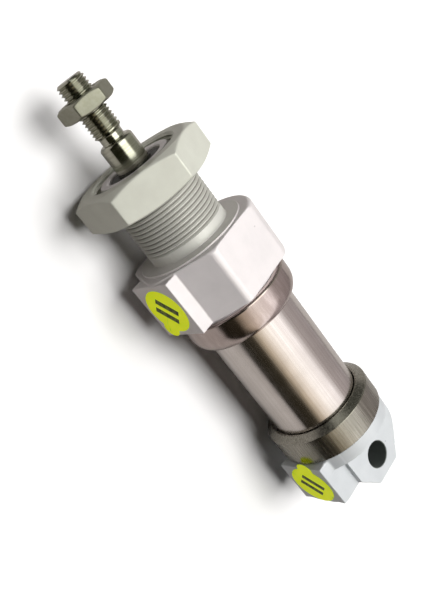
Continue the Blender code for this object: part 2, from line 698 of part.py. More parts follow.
def sticker_outline(tab_angle):
    """Round outline with a rounded pull tab that points along tab_angle, in degrees."""
    opening = degrees(STICKER_TAB_HALF_WIDTH / STICKER_RADIUS)
    radii = (STICKER_RADIUS, STICKER_RADIUS)
    points = arc((0.0, 0.0), radii, opening, 360.0 - opening, FINE_STEPS)
    tip = (STICKER_TAB_REACH - STICKER_TAB_HALF_WIDTH, 0.0)
    points += arc(tip, (STICKER_TAB_HALF_WIDTH, STICKER_TAB_HALF_WIDTH), -90.0, 90.0, 8)
    turn = radians(tab_angle)
    return [
        (x * cos(turn) - y * sin(turn), x * sin(turn) + y * cos(turn)) for x, y in points]


def port_sticker(name, boss_top, height, tab_angle, parent):
    """Thin sticker over a port, its outline drawn in the plane of the boss's face."""
    outline = sticker_outline(tab_angle)
    curve = bpy.data.curves.new(name, "CURVE")
    curve.dimensions = "2D"
    curve.fill_mode = "BOTH"
    curve.extrude = STICKER_THICKNESS / 2
    spline = curve.splines.new("POLY")
    spline.points.add(len(outline) - 1)
    for point, (along, across) in zip(spline.points, outline):
        point.co = (along, across, 0.0, 1.0)
    spline.use_cyclic_u = True
    item = bpy.data.objects.new(name, curve)
    bpy.context.scene.collection.objects.link(item)
    place(item, PARTS_NAME, parent, "sticker_yellow")
    item.location = (boss_top + STICKER_GAP + STICKER_THICKNESS / 2, 0.0, height)
    item.rotation_euler = Matrix(((0, 0, 1), (0, 1, 0), (-1, 0, 0))).to_euler()
    return item


def smoothing_group():
    """Geometry nodes that shade a mesh smooth and keep the edges of a steeper angle sharp."""
    group = bpy.data.node_groups.new("Smooth by angle", "GeometryNodeTree")
    for direction in ("INPUT", "OUTPUT"):
        group.interface.new_socket(
            "Geometry", in_out=direction, socket_type="NodeSocketGeometry")
    start = group.nodes.new("NodeGroupInput")
    end = group.nodes.new("NodeGroupOutput")
    faces = group.nodes.new("GeometryNodeSetShadeSmooth")
    faces.domain = "FACE"
    edges = group.nodes.new("GeometryNodeSetShadeSmooth")
    edges.domain = "EDGE"
    angle = group.nodes.new("GeometryNodeInputMeshEdgeAngle")
    gentle = group.nodes.new("FunctionNodeCompare")
    gentle.operation = "LESS_THAN"
    gentle.inputs["B"].default_value = SMOOTH_ANGLE
    group.links.new(start.outputs["Geometry"], faces.inputs["Geometry"])
    group.links.new(faces.outputs["Geometry"], edges.inputs["Geometry"])
    group.links.new(angle.outputs["Unsigned Angle"], gentle.inputs["A"])
    group.links.new(gentle.outputs["Result"], edges.inputs["Shade Smooth"])
    group.links.new(edges.outputs["Geometry"], end.inputs["Geometry"])
    return group


def shade_smooth(items):
    """Smooth shading on round surfaces, with crisp edges where faces meet."""
    group = smoothing_group()
    for item in items:
        if item.type == "MESH":
            item.modifiers.new("Smooth by angle", "NODES").node_group = group


def axis_empty(name, parent=None):
    """Empty on the cylinder axis that carries one group of pieces."""
    item = bpy.data.objects.new(name, None)
    item.empty_display_size = 10.0 * MM
    bpy.context.scene.collection.objects.link(item)
    if parent is None:
        item.matrix_world = Matrix(
            ((0, 0, 1, 0), (1, 0, 0, 0), (0, 1, 0, 0), (0, 0, 0, 1)))
    else:
        item.parent = bpy.data.objects[parent]
    return item


def build():
    """Make every piece of the cylinder."""
    clear_scene()
    make_collection(PARTS_NAME)
    make_collection(CUTTERS_NAME)
    for name in MATERIALS:
        make_material(name)
    axis_empty("cylinder_axis")
    for name in ("barrel", "rod_assembly", "piston_rings", "lock_nut", "mounting_nut_group"):
        axis_empty(name, "cylinder_axis")
    front_cap("barrel")
    rear_cap("barrel")
    barrel_tube("barrel")
    front_closing = bowl(FRONT_RING_SHOULDER, FRONT_RING_THROAT)
    crimp_ring("front_crimp_ring", FRONT_RING_LIP, 1.0, front_closing, "barrel")
    rear_closing = cone(REAR_RING_CREST, REAR_RING_THROAT)
    crimp_ring("rear_crimp_ring", REAR_RING_LIP, -1.0, rear_closing, "barrel")
    rod_guidance("barrel")
    static_seals("barrel")
    port_sticker("front_port_sticker", FRONT_BOSS_TOP, FRONT_PORT_HEIGHT, -35.0, "barrel")
    port_sticker("rear_port_sticker", REAR_BOSS_TOP, REAR_PORT_HEIGHT, 165.0, "barrel")
    piston_rod("rod_assembly")
    piston("rod_assembly", "piston_rings")
    hexagon_nut(
        "rod_lock_nut", LOCK_NUT_FLATS, LOCK_NUT_SPAN, ROD_THREAD_RADIUS + GAP,
        LOCK_NUT_CHAMFERS, "lock_nut_steel", "lock_nut", LOCK_NUT_CLOCKING, COARSE_STEPS)
    hexagon_nut(
        "mounting_nut", MOUNTING_NUT_FLATS, MOUNTING_NUT_SPAN, NECK_RADIUS + GAP,
        MOUNTING_NUT_CHAMFERS, "nut_aluminium", "mounting_nut_group", MOUNTING_NUT_CLOCKING,
        FINE_STEPS)
    shade_smooth(bpy.data.collections[PARTS_NAME].objects)


build()
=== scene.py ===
"""Looks of the pneumatic cylinder: fine meshes, procedural materials, floor, lights and camera.

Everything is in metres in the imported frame: +X runs along the cylinder towards the rod end, with
the origin on the axis at the front mounting shoulder.  +Y points at the port bosses and +Z along
the rear eye's hole.  Angles round the axis are measured from +Y towards +Z.
"""
import json
from math import atan, cos, pi, radians, sin, sqrt, tau

import bmesh
import bpy
import numpy as np
from mathutils import Matrix, Vector


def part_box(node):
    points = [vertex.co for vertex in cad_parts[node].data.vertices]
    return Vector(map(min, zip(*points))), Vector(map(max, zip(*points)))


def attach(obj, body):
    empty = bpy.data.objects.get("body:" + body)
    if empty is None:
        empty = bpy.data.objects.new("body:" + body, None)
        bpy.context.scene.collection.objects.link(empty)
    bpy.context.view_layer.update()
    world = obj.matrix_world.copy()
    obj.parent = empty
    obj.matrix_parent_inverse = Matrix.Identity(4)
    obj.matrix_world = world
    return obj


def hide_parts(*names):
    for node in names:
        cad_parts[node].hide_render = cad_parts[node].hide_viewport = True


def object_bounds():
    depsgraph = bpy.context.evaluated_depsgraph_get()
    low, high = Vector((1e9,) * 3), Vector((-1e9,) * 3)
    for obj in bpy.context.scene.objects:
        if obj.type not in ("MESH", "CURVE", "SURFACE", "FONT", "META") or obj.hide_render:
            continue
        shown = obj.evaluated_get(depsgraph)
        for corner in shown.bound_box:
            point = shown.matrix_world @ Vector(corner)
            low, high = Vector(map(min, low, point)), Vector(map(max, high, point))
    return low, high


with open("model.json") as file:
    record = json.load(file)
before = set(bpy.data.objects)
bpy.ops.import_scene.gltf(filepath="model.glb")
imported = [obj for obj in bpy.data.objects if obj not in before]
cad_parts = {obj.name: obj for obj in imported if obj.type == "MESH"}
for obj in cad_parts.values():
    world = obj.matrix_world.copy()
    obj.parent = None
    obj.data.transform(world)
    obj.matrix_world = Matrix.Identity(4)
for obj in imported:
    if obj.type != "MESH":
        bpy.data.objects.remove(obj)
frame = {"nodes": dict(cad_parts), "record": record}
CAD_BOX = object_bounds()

MM = 0.001

# Meshing: welding distance, length of a ray and how often it is halved, rounding of corners,
# eased edges and fillets, drilling, and the angle from which an edge is shaded sharp
WELD = 0.002 * MM
REACH = 60.0 * MM
HALVINGS = 30
CORNER_STEPS = 4
CORNER_REACH = 0.45
EDGE = 0.4 * MM
FILLET = 0.35 * MM
MILLED_CORNER = 0.15 * MM
DRILL_STEP = 7.5
DRILL_CLEARANCE = 0.2 * MM
SHARP_ANGLE = radians(42.0)

# Threads, in pitches: where the rows of points lie, half the width of the flat crest, and the
# width of a flank
THREAD_STOPS = (0.0, 0.07, 0.14, 0.23, 0.32, 0.41, 0.47, 0.53, 0.59, 0.68, 0.77, 0.86, 0.93)
THREAD_CREST = 0.06
THREAD_FLANK = 0.40

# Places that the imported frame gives
CAP_LOW, CAP_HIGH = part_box("front_cap")
TAIL_LOW, TAIL_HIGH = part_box("rear_cap")
TUBE_LOW, TUBE_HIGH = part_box("barrel_tube")
RING_LOW, RING_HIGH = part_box("front_crimp_ring")
BACK_RING_LOW, BACK_RING_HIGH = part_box("rear_crimp_ring")
ROD_LOW, ROD_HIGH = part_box("piston_rod")
NUT_LOW, NUT_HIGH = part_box("mounting_nut")
LOCK_LOW, LOCK_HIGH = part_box("rod_lock_nut")
WIPER_LOW, WIPER_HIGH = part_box("rod_wiper_seal")
NECK_END = CAP_HIGH.x
BOSS_TOP = CAP_HIGH.y
SPIGOT_END = CAP_LOW.x
TAIL_END = TAIL_LOW.x
TAIL_SPIGOT_END = TAIL_HIGH.x
TAIL_BOSS_TOP = TAIL_HIGH.y

# Front cap
NECK_RADIUS = 15.0 * MM
NECK_ROOT_RADIUS = 14.12 * MM
NECK_PITCH = 1.5 * MM
NECK_CHAMFER = 2.0 * MM
NECK_THREAD_START = 3.3 * MM
SEAT_RADIUS = 19.8 * MM
SEAT_HEIGHT = 0.6 * MM
CAP_RADIUS = 24.0 * MM
CAP_CHAMFER = 0.8 * MM
CAP_FLAT_DISTANCE = 21.25 * MM
CAP_FLAT_ANGLES = (36.0, 96.0, -24.0, -84.0)
# Where the edges of the flats and of the boss lie on the turned surface
CAP_EDGE_ANGLES = (63.7, 68.3, 123.7, 308.3, 303.7, 248.3, 23.2, 28.5, 336.8, 331.5)
CAP_REAR = -22.0 * MM
BOSS_HALF_WIDTH = 10.2 * MM
BOSS_FRONT = -1.0 * MM
RECESS_RADIUS = 10.2 * MM
RECESS_FLOOR = 22.3 * MM
BUSH_BORE_RADIUS = 8.3 * MM
BUSH_BORE_FLOOR = 1.8 * MM
CHAMBER_RADIUS = 7.7 * MM
GROOVE_RADIUS = 18.6 * MM
FLANGE_RADIUS = 19.5 * MM
FLANGE = (-28.6 * MM, -25.0 * MM)
SPIGOT_RADIUS = 15.7 * MM
O_RING_GROOVE_RADIUS = 13.7 * MM
O_RING_HALF_WIDTH = 1.3 * MM
FRONT_O_RING_X = -31.3 * MM
FRONT_PORT_X = -11.5 * MM

# Rear cap
COLLAR_RADIUS = 20.5 * MM
COLLAR_FRONT = -90.5 * MM
COLLAR_EDGE = 0.3 * MM
BLEND_RADIUS = 14.0 * MM
BLEND_START = -99.4 * MM
CONE_ANGLE = radians(25.6)
TAIL_END_RADIUS = 13.9 * MM
TONGUE_HALF_THICKNESS = 12.4 * MM
TONGUE_FRONT = -95.8 * MM
SHOULDER_FILLET = 0.1 * MM
TONGUE_STEP_Y = 12.8 * MM
TONGUE_END_HALF_WIDTH = 6.3 * MM
TONGUE_SIDE_ANGLE = radians(38.7)
# Where the tongue's edges cross the cone in a quarter turn: first and last angle, and step
TONGUE_EDGE_ANGLES = (37.0, 66.0, 2.5)
TAIL_BOSS_EDGE_ANGLES = (24.7, 335.3)
TAIL_BOSS_HALF_WIDTH = 10.4 * MM
TAIL_BOSS_SPAN = (-109.0 * MM, -90.6 * MM)
TAIL_FLANGE = (-88.8 * MM, -84.3 * MM)
TAIL_O_RING_X = -81.9 * MM
POCKET_RADIUS = 9.0 * MM
POCKET_FLOOR = -86.0 * MM
AIR_DRILL_RADIUS = 2.2 * MM
AIR_DRILL_END = -100.1 * MM
EYE_X = -107.5 * MM
EYE_RADIUS = 5.0 * MM
EYE_CHAMFER = 0.25 * MM
EYE_CLEARANCE = 0.3 * MM
REAR_PORT_X = -99.8 * MM

# Ports under the stickers
PORT_RADIUS = 4.4 * MM
PORT_MOUTH_RADIUS = 5.0 * MM
PORT_DEPTH = 7.5 * MM
PASSAGE_RADIUS = 1.7 * MM
REAR_PASSAGE_SHIFT = 1.3 * MM

# Tube and clamping rings
TUBE_RADIUS = 17.1 * MM
TUBE_BORE_RADIUS = 16.0 * MM
SHEET = 1.1 * MM
RING_RADIUS = 21.15 * MM
RING_THROAT_RADIUS = 17.4 * MM
RING_LIP_RADIUS = 18.9 * MM
RING_ROUNDING = 0.8 * MM
FRONT_RING_SHOULDER = -29.0 * MM
REAR_RING_CREST = -79.9 * MM
CREST_ROUNDING = 0.45 * MM

# Rod
ROD_RADIUS = 6.0 * MM
ROD_THREAD_RADIUS = 5.0 * MM
ROD_ROOT_RADIUS = 4.27 * MM
ROD_PITCH = 1.25 * MM
ROD_THREAD_END = 43.7 * MM
UNDERCUT_RADIUS = 4.05 * MM
ROD_SHOULDER = 39.6 * MM
PISTON_SEAT = -60.8 * MM
ROD_SPIGOT_RADIUS = 4.0 * MM

# Nuts
NUT_FLATS = 42.0 * MM
NUT_CLOCKING = -2.5
NUT_BORE = 15.3 * MM
NUT_THREAD_DEPTH = 0.85 * MM
NUT_CHAMFERS = (1.5 * MM, 2.1 * MM)
LOCK_FLATS = 17.0 * MM
LOCK_CLOCKING = 4.7
LOCK_BORE = 5.3 * MM
LOCK_THREAD_DEPTH = 0.65 * MM
LOCK_CHAMFERS = (0.9 * MM, 0.9 * MM)
# Both nuts: radius of the end faces as a share of half the flats, depth of the bore's mouths
# as a share of the first chamfer, and spacing of the rows of points
NUT_FACE_SHARE = 0.97
NUT_MOUTH_SHARE = 0.8
NUT_ROW_SPACING = 0.13 * MM

# Stickers
STICKER_RADIUS = 8.8 * MM
STICKER_SINK = 0.1 * MM
STICKER_LIFT = 0.02 * MM
STICKER_THICKNESS = 0.14 * MM
TAB_REACH = 12.2 * MM
TAB_HALF_WIDTH = 3.2 * MM
TAB_LIFT = 0.11 * MM
# Rows of points: round ones over the disc, then ones that spread to the rim and over the tab
DISC_SHARE = 0.96
DISC_ROWS = (0.0, 0.25, 0.5, 0.75, 0.9, 1.0)
RIM_ROWS = (0.25, 0.5, 0.7, 0.85, 0.95, 1.0)
FRONT_TAB_ANGLE = 215.0
REAR_TAB_ANGLE = 15.0
BAR_ANGLE = radians(133.0)
BAR_HALF_LENGTH = 4.6 * MM
BAR_HALF_WIDTH = 1.15 * MM
BAR_OFFSET = 2.2 * MM
BAR_SOFT_EDGE = 0.15 * MM
# Emission of the sticker film: a painted glow for its fluorescent yellow
FILM_GLOW = 0.34

# Painted shade that only part of a piece has: the neck darker and olive, the thread's root darker,
# the rear eye's wall dark
NECK_SHADE_TONE = (0.545, 0.545, 0.505)
THREAD_ROOT_SHADE = (0.22, 0.215, 0.19)
EYE_WALL_SHADE = (0.17, 0.19, 0.18)

# Finish of all the anodised pieces
ANODISED_METALLIC = 0.22
ANODISED_ROUGHNESS = 0.46

# Surroundings: their colours by angle round the cylinder's axis, for directions that point to
# the rear and to the rod end, and how these blend and dim with the direction's X
REAR_BANDS = (
    (-180.0, (0.30, 0.28, 0.28)), (-90.0, (0.4, 0.4, 0.4)), (-14.0, (0.40, 0.38, 0.35)),
    (-3.0, (0.02, 0.017, 0.012)), (34.0, (0.03, 0.024, 0.014)), (46.0, (0.62, 0.52, 0.38)),
    (62.0, (1.15, 1.05, 0.92)), (84.0, (1.5, 1.46, 1.42)), (112.0, (1.35, 1.3, 1.3)),
    (128.0, (0.50, 0.45, 0.44)), (180.0, (0.42, 0.38, 0.38)),
)
ROD_END_BANDS = (
    (-180.0, (0.30, 0.30, 0.26)), (-90.0, (0.4, 0.4, 0.38)), (-24.0, (0.34, 0.34, 0.30)),
    (-12.0, (0.02, 0.02, 0.010)), (62.0, (0.02, 0.02, 0.010)), (69.0, (2.7, 2.7, 2.45)),
    (106.0, (3.2, 3.2, 3.0)), (118.0, (0.42, 0.42, 0.36)), (180.0, (0.40, 0.40, 0.36)),
)
BLEND_RANGE = (-0.36, -0.20)
DIM_RANGE = (0.15, 0.55)
DIM_SHARE = 0.3
BACKDROP = (1.2, 1.2, 1.2)

# Lights and floor
LIGHT_TARGET = (-0.03, 0.0, 0.0)
FLOOR_SIZE = 8.0
FLOOR_GAP = 0.1 * MM
FLOOR_TONES = ((0.93, 0.925, 0.92), (0.90, 0.90, 0.90))
FLOOR_BOUNCE = (0.42, 0.40, 0.385)
FLOOR_GLOW_RANGE = (0.28, 1.1)
FLOOR_GLOW = 1.1

# Camera, with its focal length in rows of the image
SENSOR = 36.0
IMAGE_HEIGHT = 600.0
FOCAL_HEIGHT = 785.6
CAMERA_RIGHT = Vector((-0.57008, -0.55875, 0.60233))
CAMERA_UP = Vector((0.73459, -0.67499, 0.06911))
CAMERA_PLACE = Vector((75.04, 134.38, 213.58)) * MM


# ---------------------------------------------------------------- mesh helpers

def polar(x, radius, angle):
    """Points at a place along the axis, a radius and an angle round it."""
    x, radius, angle = np.broadcast_arrays(x, radius, angle)
    return np.stack((x, radius * np.cos(angle), radius * np.sin(angle)), -1)


def round_the_axis(step, fine=(), fine_step=0.0, half_width=0.0):
    """Column angles for a full turn, in radians, closer together round each fine angle."""
    angles = set(np.round(np.arange(0.0, 360.0, step), 4))
    for middle in fine:
        near = np.arange(middle - half_width, middle + half_width + fine_step / 2, fine_step)
        angles |= set(np.round(near % 360.0, 4))
    return np.radians(np.append(sorted(angles), 360.0))


def rounded(points, radius):
    """Open outline of (x, radius) points with its inner corners eased to about that radius."""
    result = [points[0]]
    for before, here, after in zip(points, points[1:], points[2:]):
        back = np.subtract(before, here)
        ahead = np.subtract(after, here)
        reach = min(radius, CORNER_REACH * np.hypot(*back), CORNER_REACH * np.hypot(*ahead))
        first = here + back / np.hypot(*back) * reach
        last = here + ahead / np.hypot(*ahead) * reach
        for step in range(CORNER_STEPS + 1):
            t = step / CORNER_STEPS
            result.append(tuple(first * (1 - t) ** 2 + np.multiply(here, 2 * t * (1 - t))
                                + last * t ** 2))
    result.append(points[-1])
    return result


def rings(outline, angles):
    """Rows of points round the axis, one for each (x, radius) point of an outline."""
    return np.array([polar(x, radius, angles) for x, radius in outline])


def skin(name, blocks, loop=False):
    """Mesh over rows of points; loop joins the last row to the first."""
    rows = np.concatenate(blocks)
    if loop:
        rows = np.concatenate((rows, rows[:1]))
    index = np.arange(rows.shape[0] * rows.shape[1]).reshape(rows.shape[:2])
    quads = np.stack((index[:-1, :-1], index[:-1, 1:], index[1:, 1:], index[1:, :-1]), -1)
    mesh = bpy.data.meshes.new(name)
    mesh.from_pydata(rows.reshape(-1, 3).tolist(), [], quads.reshape(-1, 4).tolist())
    shape = bmesh.new()
    shape.from_mesh(mesh)
    bmesh.ops.remove_doubles(shape, verts=shape.verts, dist=WELD)
    bmesh.ops.recalc_face_normals(shape, faces=shape.faces)
    shape.to_mesh(mesh)
    shape.free()
    item = bpy.data.objects.new(name, mesh)
    bpy.context.scene.collection.objects.link(item)
    return item


def turned(name, outline, rounding, step):
    """Turned ring from a closed outline of (x, radius) points with eased corners."""
    middle = tuple(np.add(outline[0], outline[-1]) / 2)
    closed = rounded([middle, *outline, middle], rounding)
    return skin(name, [rings(closed, round_the_axis(step))])


def smooth_max(first, second, width):
    """Intersection of two distance fields with an eased edge."""
    overlap = np.maximum(width - np.abs(first - second), 0.0) / width
    return np.maximum(first, second) + overlap * overlap * width / 4


def smooth_min(first, second, width):
    """Union of two distance fields with a fillet."""
    return -smooth_max(-first, -second, width)


def cast(shape, rays, angles):
    """Rows where rays from the axis leave a shape; each ray is (x, tilt in degrees)."""
    origin_x, tilt = np.array(rays).T
    tilt = np.radians(tilt)[:, None]
    heading = polar(np.sin(tilt), np.cos(tilt), angles)
    origin = np.zeros_like(heading)
    origin[..., 0] = origin_x[:, None]
    near = np.zeros(heading.shape[:2])
    far = np.full(heading.shape[:2], REACH)
    for _ in range(HALVINGS):
        middle = (near + far) / 2
        inside = shape(origin + middle[..., None] * heading) < 0.0
        near = np.where(inside, middle, near)
        far = np.where(inside, far, middle)
    return origin + near[..., None] * heading


def tilts(x, start, end, step):
    """Rays from one place on the axis whose tilt runs from start to end, in degrees."""
    count = max(1, round(abs(end - start) / step))
    return [(x, tilt) for tilt in np.linspace(start, end, count + 1)]


def slide(start, end, step, tilt):
    """Rays of one tilt whose place runs along the axis from start to end, in millimetres."""
    return [(x * MM, tilt) for x in np.arange(start, end, step)]


def thread_rows(low, high, crest, root, pitch, angles, limit, fade=0.0):
    """Rows that follow a right-hand thread, squeezed to a plain edge at both ends."""
    first = int(low / pitch) - 2
    last = int(high / pitch) + 2
    turn = angles / tau
    rows = []
    for count in range(last, first - 1, -1):
        for stop in reversed(THREAD_STOPS):
            x = np.clip(pitch * (count + stop + turn), low, high)
            phase = np.abs((x / pitch - turn + 0.5) % 1.0 - 0.5)
            depth = np.clip((phase - THREAD_CREST) / THREAD_FLANK, 0.0, 1.0)
            if fade > 0.0:
                depth = depth * np.clip((x - low) / fade, 0.0, 1.0)
            radius = crest - (crest - root) * depth
            rows.append(polar(x, np.minimum(radius, limit(x)), angles))
    return np.array(rows)


def drilled(item, outline, location, heading):
    """Cut a turned hole; its outline runs along the heading from the location."""
    outline = [(outline[0][0], 0.0), *outline, (outline[-1][0], 0.0)]
    cutter = skin("drill", [rings(outline, round_the_axis(DRILL_STEP))])
    cutter.matrix_world = (Matrix.Translation(location)
                           @ Vector((1.0, 0.0, 0.0)).rotation_difference(heading)
                           .to_matrix().to_4x4())
    cut = item.modifiers.new("Drill", "BOOLEAN")
    cut.operation = "DIFFERENCE"
    cut.object = cutter
    bpy.context.view_layer.update()
    evaluated = item.evaluated_get(bpy.context.evaluated_depsgraph_get())
    mesh = bpy.data.meshes.new_from_object(evaluated)
    item.modifiers.clear()
    item.data = mesh
    bpy.data.objects.remove(cutter)


def dress(item, body, nodes, material):
    """Shade a finished piece, give it its material and hang it on its CAD body."""
    item.data.materials.clear()
    item.data.materials.append(material)
    item.data.shade_smooth()
    item.data.set_sharp_from_angle(angle=SHARP_ANGLE)
    normals = item.modifiers.new("Even normals", "WEIGHTED_NORMAL")
    normals.keep_sharp = True
    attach(item, body)
    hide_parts(*nodes)


# ---------------------------------------------------------------- pieces

def port_holes(item, top, x, passage_shift, passage_end):
    """Port with a countersunk mouth and its air passage, drilled towards the axis."""
    down = Vector((0.0, -1.0, 0.0))
    lead = PORT_MOUTH_RADIUS - PORT_RADIUS
    clear = DRILL_CLEARANCE
    drilled(item, [(-clear, PORT_MOUTH_RADIUS + clear), (lead, PORT_RADIUS),
                   (PORT_DEPTH, PORT_RADIUS)], Vector((x, top, 0.0)), down)
    drilled(item, [(PORT_DEPTH - clear, PASSAGE_RADIUS), (top - passage_end, PASSAGE_RADIUS)],
            Vector((x + passage_shift, top, 0.0)), down)


def front_cap_shape(points):
    """Distance field of the front cap's body: flats, turned edge and port boss."""
    x, y, z = np.moveaxis(points, -1, 0)
    radius = np.hypot(y, z)
    chamfer = (radius + x - (CAP_RADIUS - CAP_CHAMFER - SEAT_HEIGHT)) / sqrt(2.0)
    body = smooth_max(radius - CAP_RADIUS, chamfer, EDGE)
    for angle in np.radians(CAP_FLAT_ANGLES):
        body = smooth_max(body, y * cos(angle) + z * sin(angle) - CAP_FLAT_DISTANCE, EDGE)
    body = smooth_max(body, x + SEAT_HEIGHT, EDGE)
    boss = smooth_max(y - BOSS_TOP, np.abs(z) - BOSS_HALF_WIDTH, EDGE)
    boss = smooth_max(boss, x - BOSS_FRONT, EDGE)
    body = smooth_min(body, np.maximum(boss, -y), FILLET)
    body = np.maximum(body, y - BOSS_TOP)
    return smooth_max(body, CAP_REAR - x, EDGE)


def front_cap():
    """Neck with its thread, mounting seat, spanner flats, port boss and inner spigot."""
    angles = round_the_axis(2.0, CAP_EDGE_ANGLES, 0.25, 1.25)
    mouth = 0.5 * MM
    inner = [
        (SPIGOT_END, SPIGOT_RADIUS - MM), (SPIGOT_END, CHAMBER_RADIUS),
        (BUSH_BORE_FLOOR, CHAMBER_RADIUS), (BUSH_BORE_FLOOR, BUSH_BORE_RADIUS),
        (RECESS_FLOOR, BUSH_BORE_RADIUS), (RECESS_FLOOR, RECESS_RADIUS),
        (NECK_END - mouth, RECESS_RADIUS), (NECK_END, RECESS_RADIUS + mouth),
        (NECK_END, NECK_RADIUS - NECK_CHAMFER - 0.1 * MM),
    ]
    thread = thread_rows(
        NECK_THREAD_START, NECK_END, NECK_RADIUS, NECK_ROOT_RADIUS, NECK_PITCH, angles,
        lambda x: NECK_RADIUS - NECK_CHAMFER + (NECK_END - x), fade=0.5 * MM)
    seat = [
        (NECK_THREAD_START, NECK_RADIUS), (0.0, NECK_RADIUS), (0.0, SEAT_RADIUS),
        (-SEAT_HEIGHT, SEAT_RADIUS), (-SEAT_HEIGHT, SEAT_RADIUS + 0.1 * MM),
    ]
    ahead = -8.0 * MM
    behind = -14.0 * MM
    rays = (tilts(ahead, 20.3, 14.0, 0.3) + tilts(ahead, 12.0, 0.0, 4.0)
            + tilts(behind, 0.0, -15.0, 5.0) + tilts(behind, -16.5, -23.0, 0.3))
    groove_front = FRONT_O_RING_X + O_RING_HALF_WIDTH
    groove_rear = FRONT_O_RING_X - O_RING_HALF_WIDTH
    spigot = [
        (CAP_REAR, GROOVE_RADIUS), (FLANGE[1], GROOVE_RADIUS), (FLANGE[1], FLANGE_RADIUS),
        (FLANGE[0], FLANGE_RADIUS), (FLANGE[0], SPIGOT_RADIUS), (groove_front, SPIGOT_RADIUS),
        (groove_front, O_RING_GROOVE_RADIUS), (groove_rear, O_RING_GROOVE_RADIUS),
        (groove_rear, SPIGOT_RADIUS), (SPIGOT_END, SPIGOT_RADIUS),
        (SPIGOT_END, SPIGOT_RADIUS - MM),
    ]
    item = skin("front_cap_with_neck", [
        rings(rounded(inner, 0.2 * MM), angles), thread, rings(rounded(seat, 0.25 * MM), angles),
        cast(front_cap_shape, rays, angles),
        rings(rounded(spigot, 0.15 * MM), angles)], loop=True)
    port_holes(item, BOSS_TOP, FRONT_PORT_X, 0.0, CHAMBER_RADIUS * 0.9)
    return item


def rear_cap_shape(points):
    """Distance field of the rear cap: collar, cone, chamfered tongue, step and port boss."""
    x, y, z = np.moveaxis(points, -1, 0)
    radius = np.hypot(y, z)
    blend_end = BLEND_START - BLEND_RADIUS * sin(CONE_ANGLE)
    blend_end_radius = COLLAR_RADIUS - BLEND_RADIUS * (1.0 - cos(CONE_ANGLE))
    slope = (blend_end_radius - TAIL_END_RADIUS) / (blend_end - TAIL_END)
    along = np.clip(x, blend_end, BLEND_START) - BLEND_START
    limit = COLLAR_RADIUS - BLEND_RADIUS + np.sqrt(BLEND_RADIUS ** 2 - along ** 2)
    limit = limit - slope * np.maximum(blend_end - x, 0.0)
    behind = TONGUE_FRONT - x
    faces = smooth_min(np.abs(z) - TONGUE_HALF_THICKNESS, behind, SHOULDER_FILLET)
    step = np.minimum(y - TONGUE_STEP_Y, np.abs(z) - TAIL_BOSS_HALF_WIDTH)
    step = np.minimum(step, behind)
    body = smooth_max(radius - limit, faces, EDGE)
    body = smooth_max(body, step, MILLED_CORNER)
    sides = (np.abs(y) - TONGUE_END_HALF_WIDTH) * cos(TONGUE_SIDE_ANGLE)
    sides = sides - (x - TAIL_END) * sin(TONGUE_SIDE_ANGLE)
    body = smooth_max(body, sides, EDGE)
    body = smooth_max(body, TAIL_END - x, EDGE)
    body = smooth_max(body, x - COLLAR_FRONT, COLLAR_EDGE)
    boss = smooth_max(y - TAIL_BOSS_TOP, np.abs(z) - TAIL_BOSS_HALF_WIDTH, EDGE)
    boss = smooth_max(boss, x - TAIL_BOSS_SPAN[1], EDGE)
    boss = smooth_max(boss, TAIL_BOSS_SPAN[0] - x, EDGE)
    return smooth_min(body, np.maximum(boss, -y), FILLET)


def rear_cap():
    """Inner spigot, collar, cone with its milled tongue, eye and port boss."""
    quarter = np.arange(*TONGUE_EDGE_ANGLES)
    edges = [*quarter, *(180.0 - quarter), *(180.0 + quarter), *(360.0 - quarter)]
    angles = round_the_axis(2.5, [*edges, *TAIL_BOSS_EDGE_ANGLES], 0.5, 1.25)
    groove_front = TAIL_O_RING_X + O_RING_HALF_WIDTH
    groove_rear = TAIL_O_RING_X - O_RING_HALF_WIDTH
    inner = [
        (AIR_DRILL_END, 0.0), (AIR_DRILL_END, AIR_DRILL_RADIUS),
        (POCKET_FLOOR, AIR_DRILL_RADIUS), (POCKET_FLOOR, POCKET_RADIUS),
        (TAIL_SPIGOT_END, POCKET_RADIUS), (TAIL_SPIGOT_END, SPIGOT_RADIUS),
        (groove_front, SPIGOT_RADIUS), (groove_front, O_RING_GROOVE_RADIUS),
        (groove_rear, O_RING_GROOVE_RADIUS), (groove_rear, SPIGOT_RADIUS),
        (TAIL_FLANGE[1], SPIGOT_RADIUS), (TAIL_FLANGE[1], FLANGE_RADIUS),
        (TAIL_FLANGE[0], FLANGE_RADIUS), (TAIL_FLANGE[0], GROOVE_RADIUS),
        (COLLAR_FRONT, GROOVE_RADIUS),
    ]
    collar, shoulder, boss_end, tip = -98.0 * MM, -93.0 * MM, -104.0 * MM, -108.0 * MM
    rays = (tilts(collar, 21.8, 16.4, 0.35) + tilts(collar, 15.0, 10.0, 1.5)
            + tilts(shoulder, -7.4, -13.0, 0.35) + slide(-93.8, -103.6, -0.7, -12.5)
            + tilts(boss_end, -12.3, -16.3, 0.35) + slide(-104.6, -107.7, -0.8, -17.0)
            + tilts(tip, -18.0, -26.0, 2.0) + tilts(tip, -27.0, -58.0, 0.6)
            + tilts(tip, -60.0, -90.0, 10.0))
    item = skin("rear_cap_with_eye", [
        rings(rounded(inner, 0.15 * MM), angles), cast(rear_cap_shape, rays, angles)])
    port_holes(item, TAIL_BOSS_TOP, REAR_PORT_X, REAR_PASSAGE_SHIFT, AIR_DRILL_RADIUS * 0.3)
    half = TONGUE_HALF_THICKNESS
    mouth = EYE_RADIUS + EYE_CHAMFER + EYE_CLEARANCE
    eye = [
        (-EYE_CLEARANCE, mouth), (EYE_CHAMFER, EYE_RADIUS),
        (2 * half - EYE_CHAMFER, EYE_RADIUS), (2 * half + EYE_CLEARANCE, mouth),
    ]
    drilled(item, eye, Vector((EYE_X, 0.0, half)), Vector((0.0, 0.0, -1.0)))
    return item


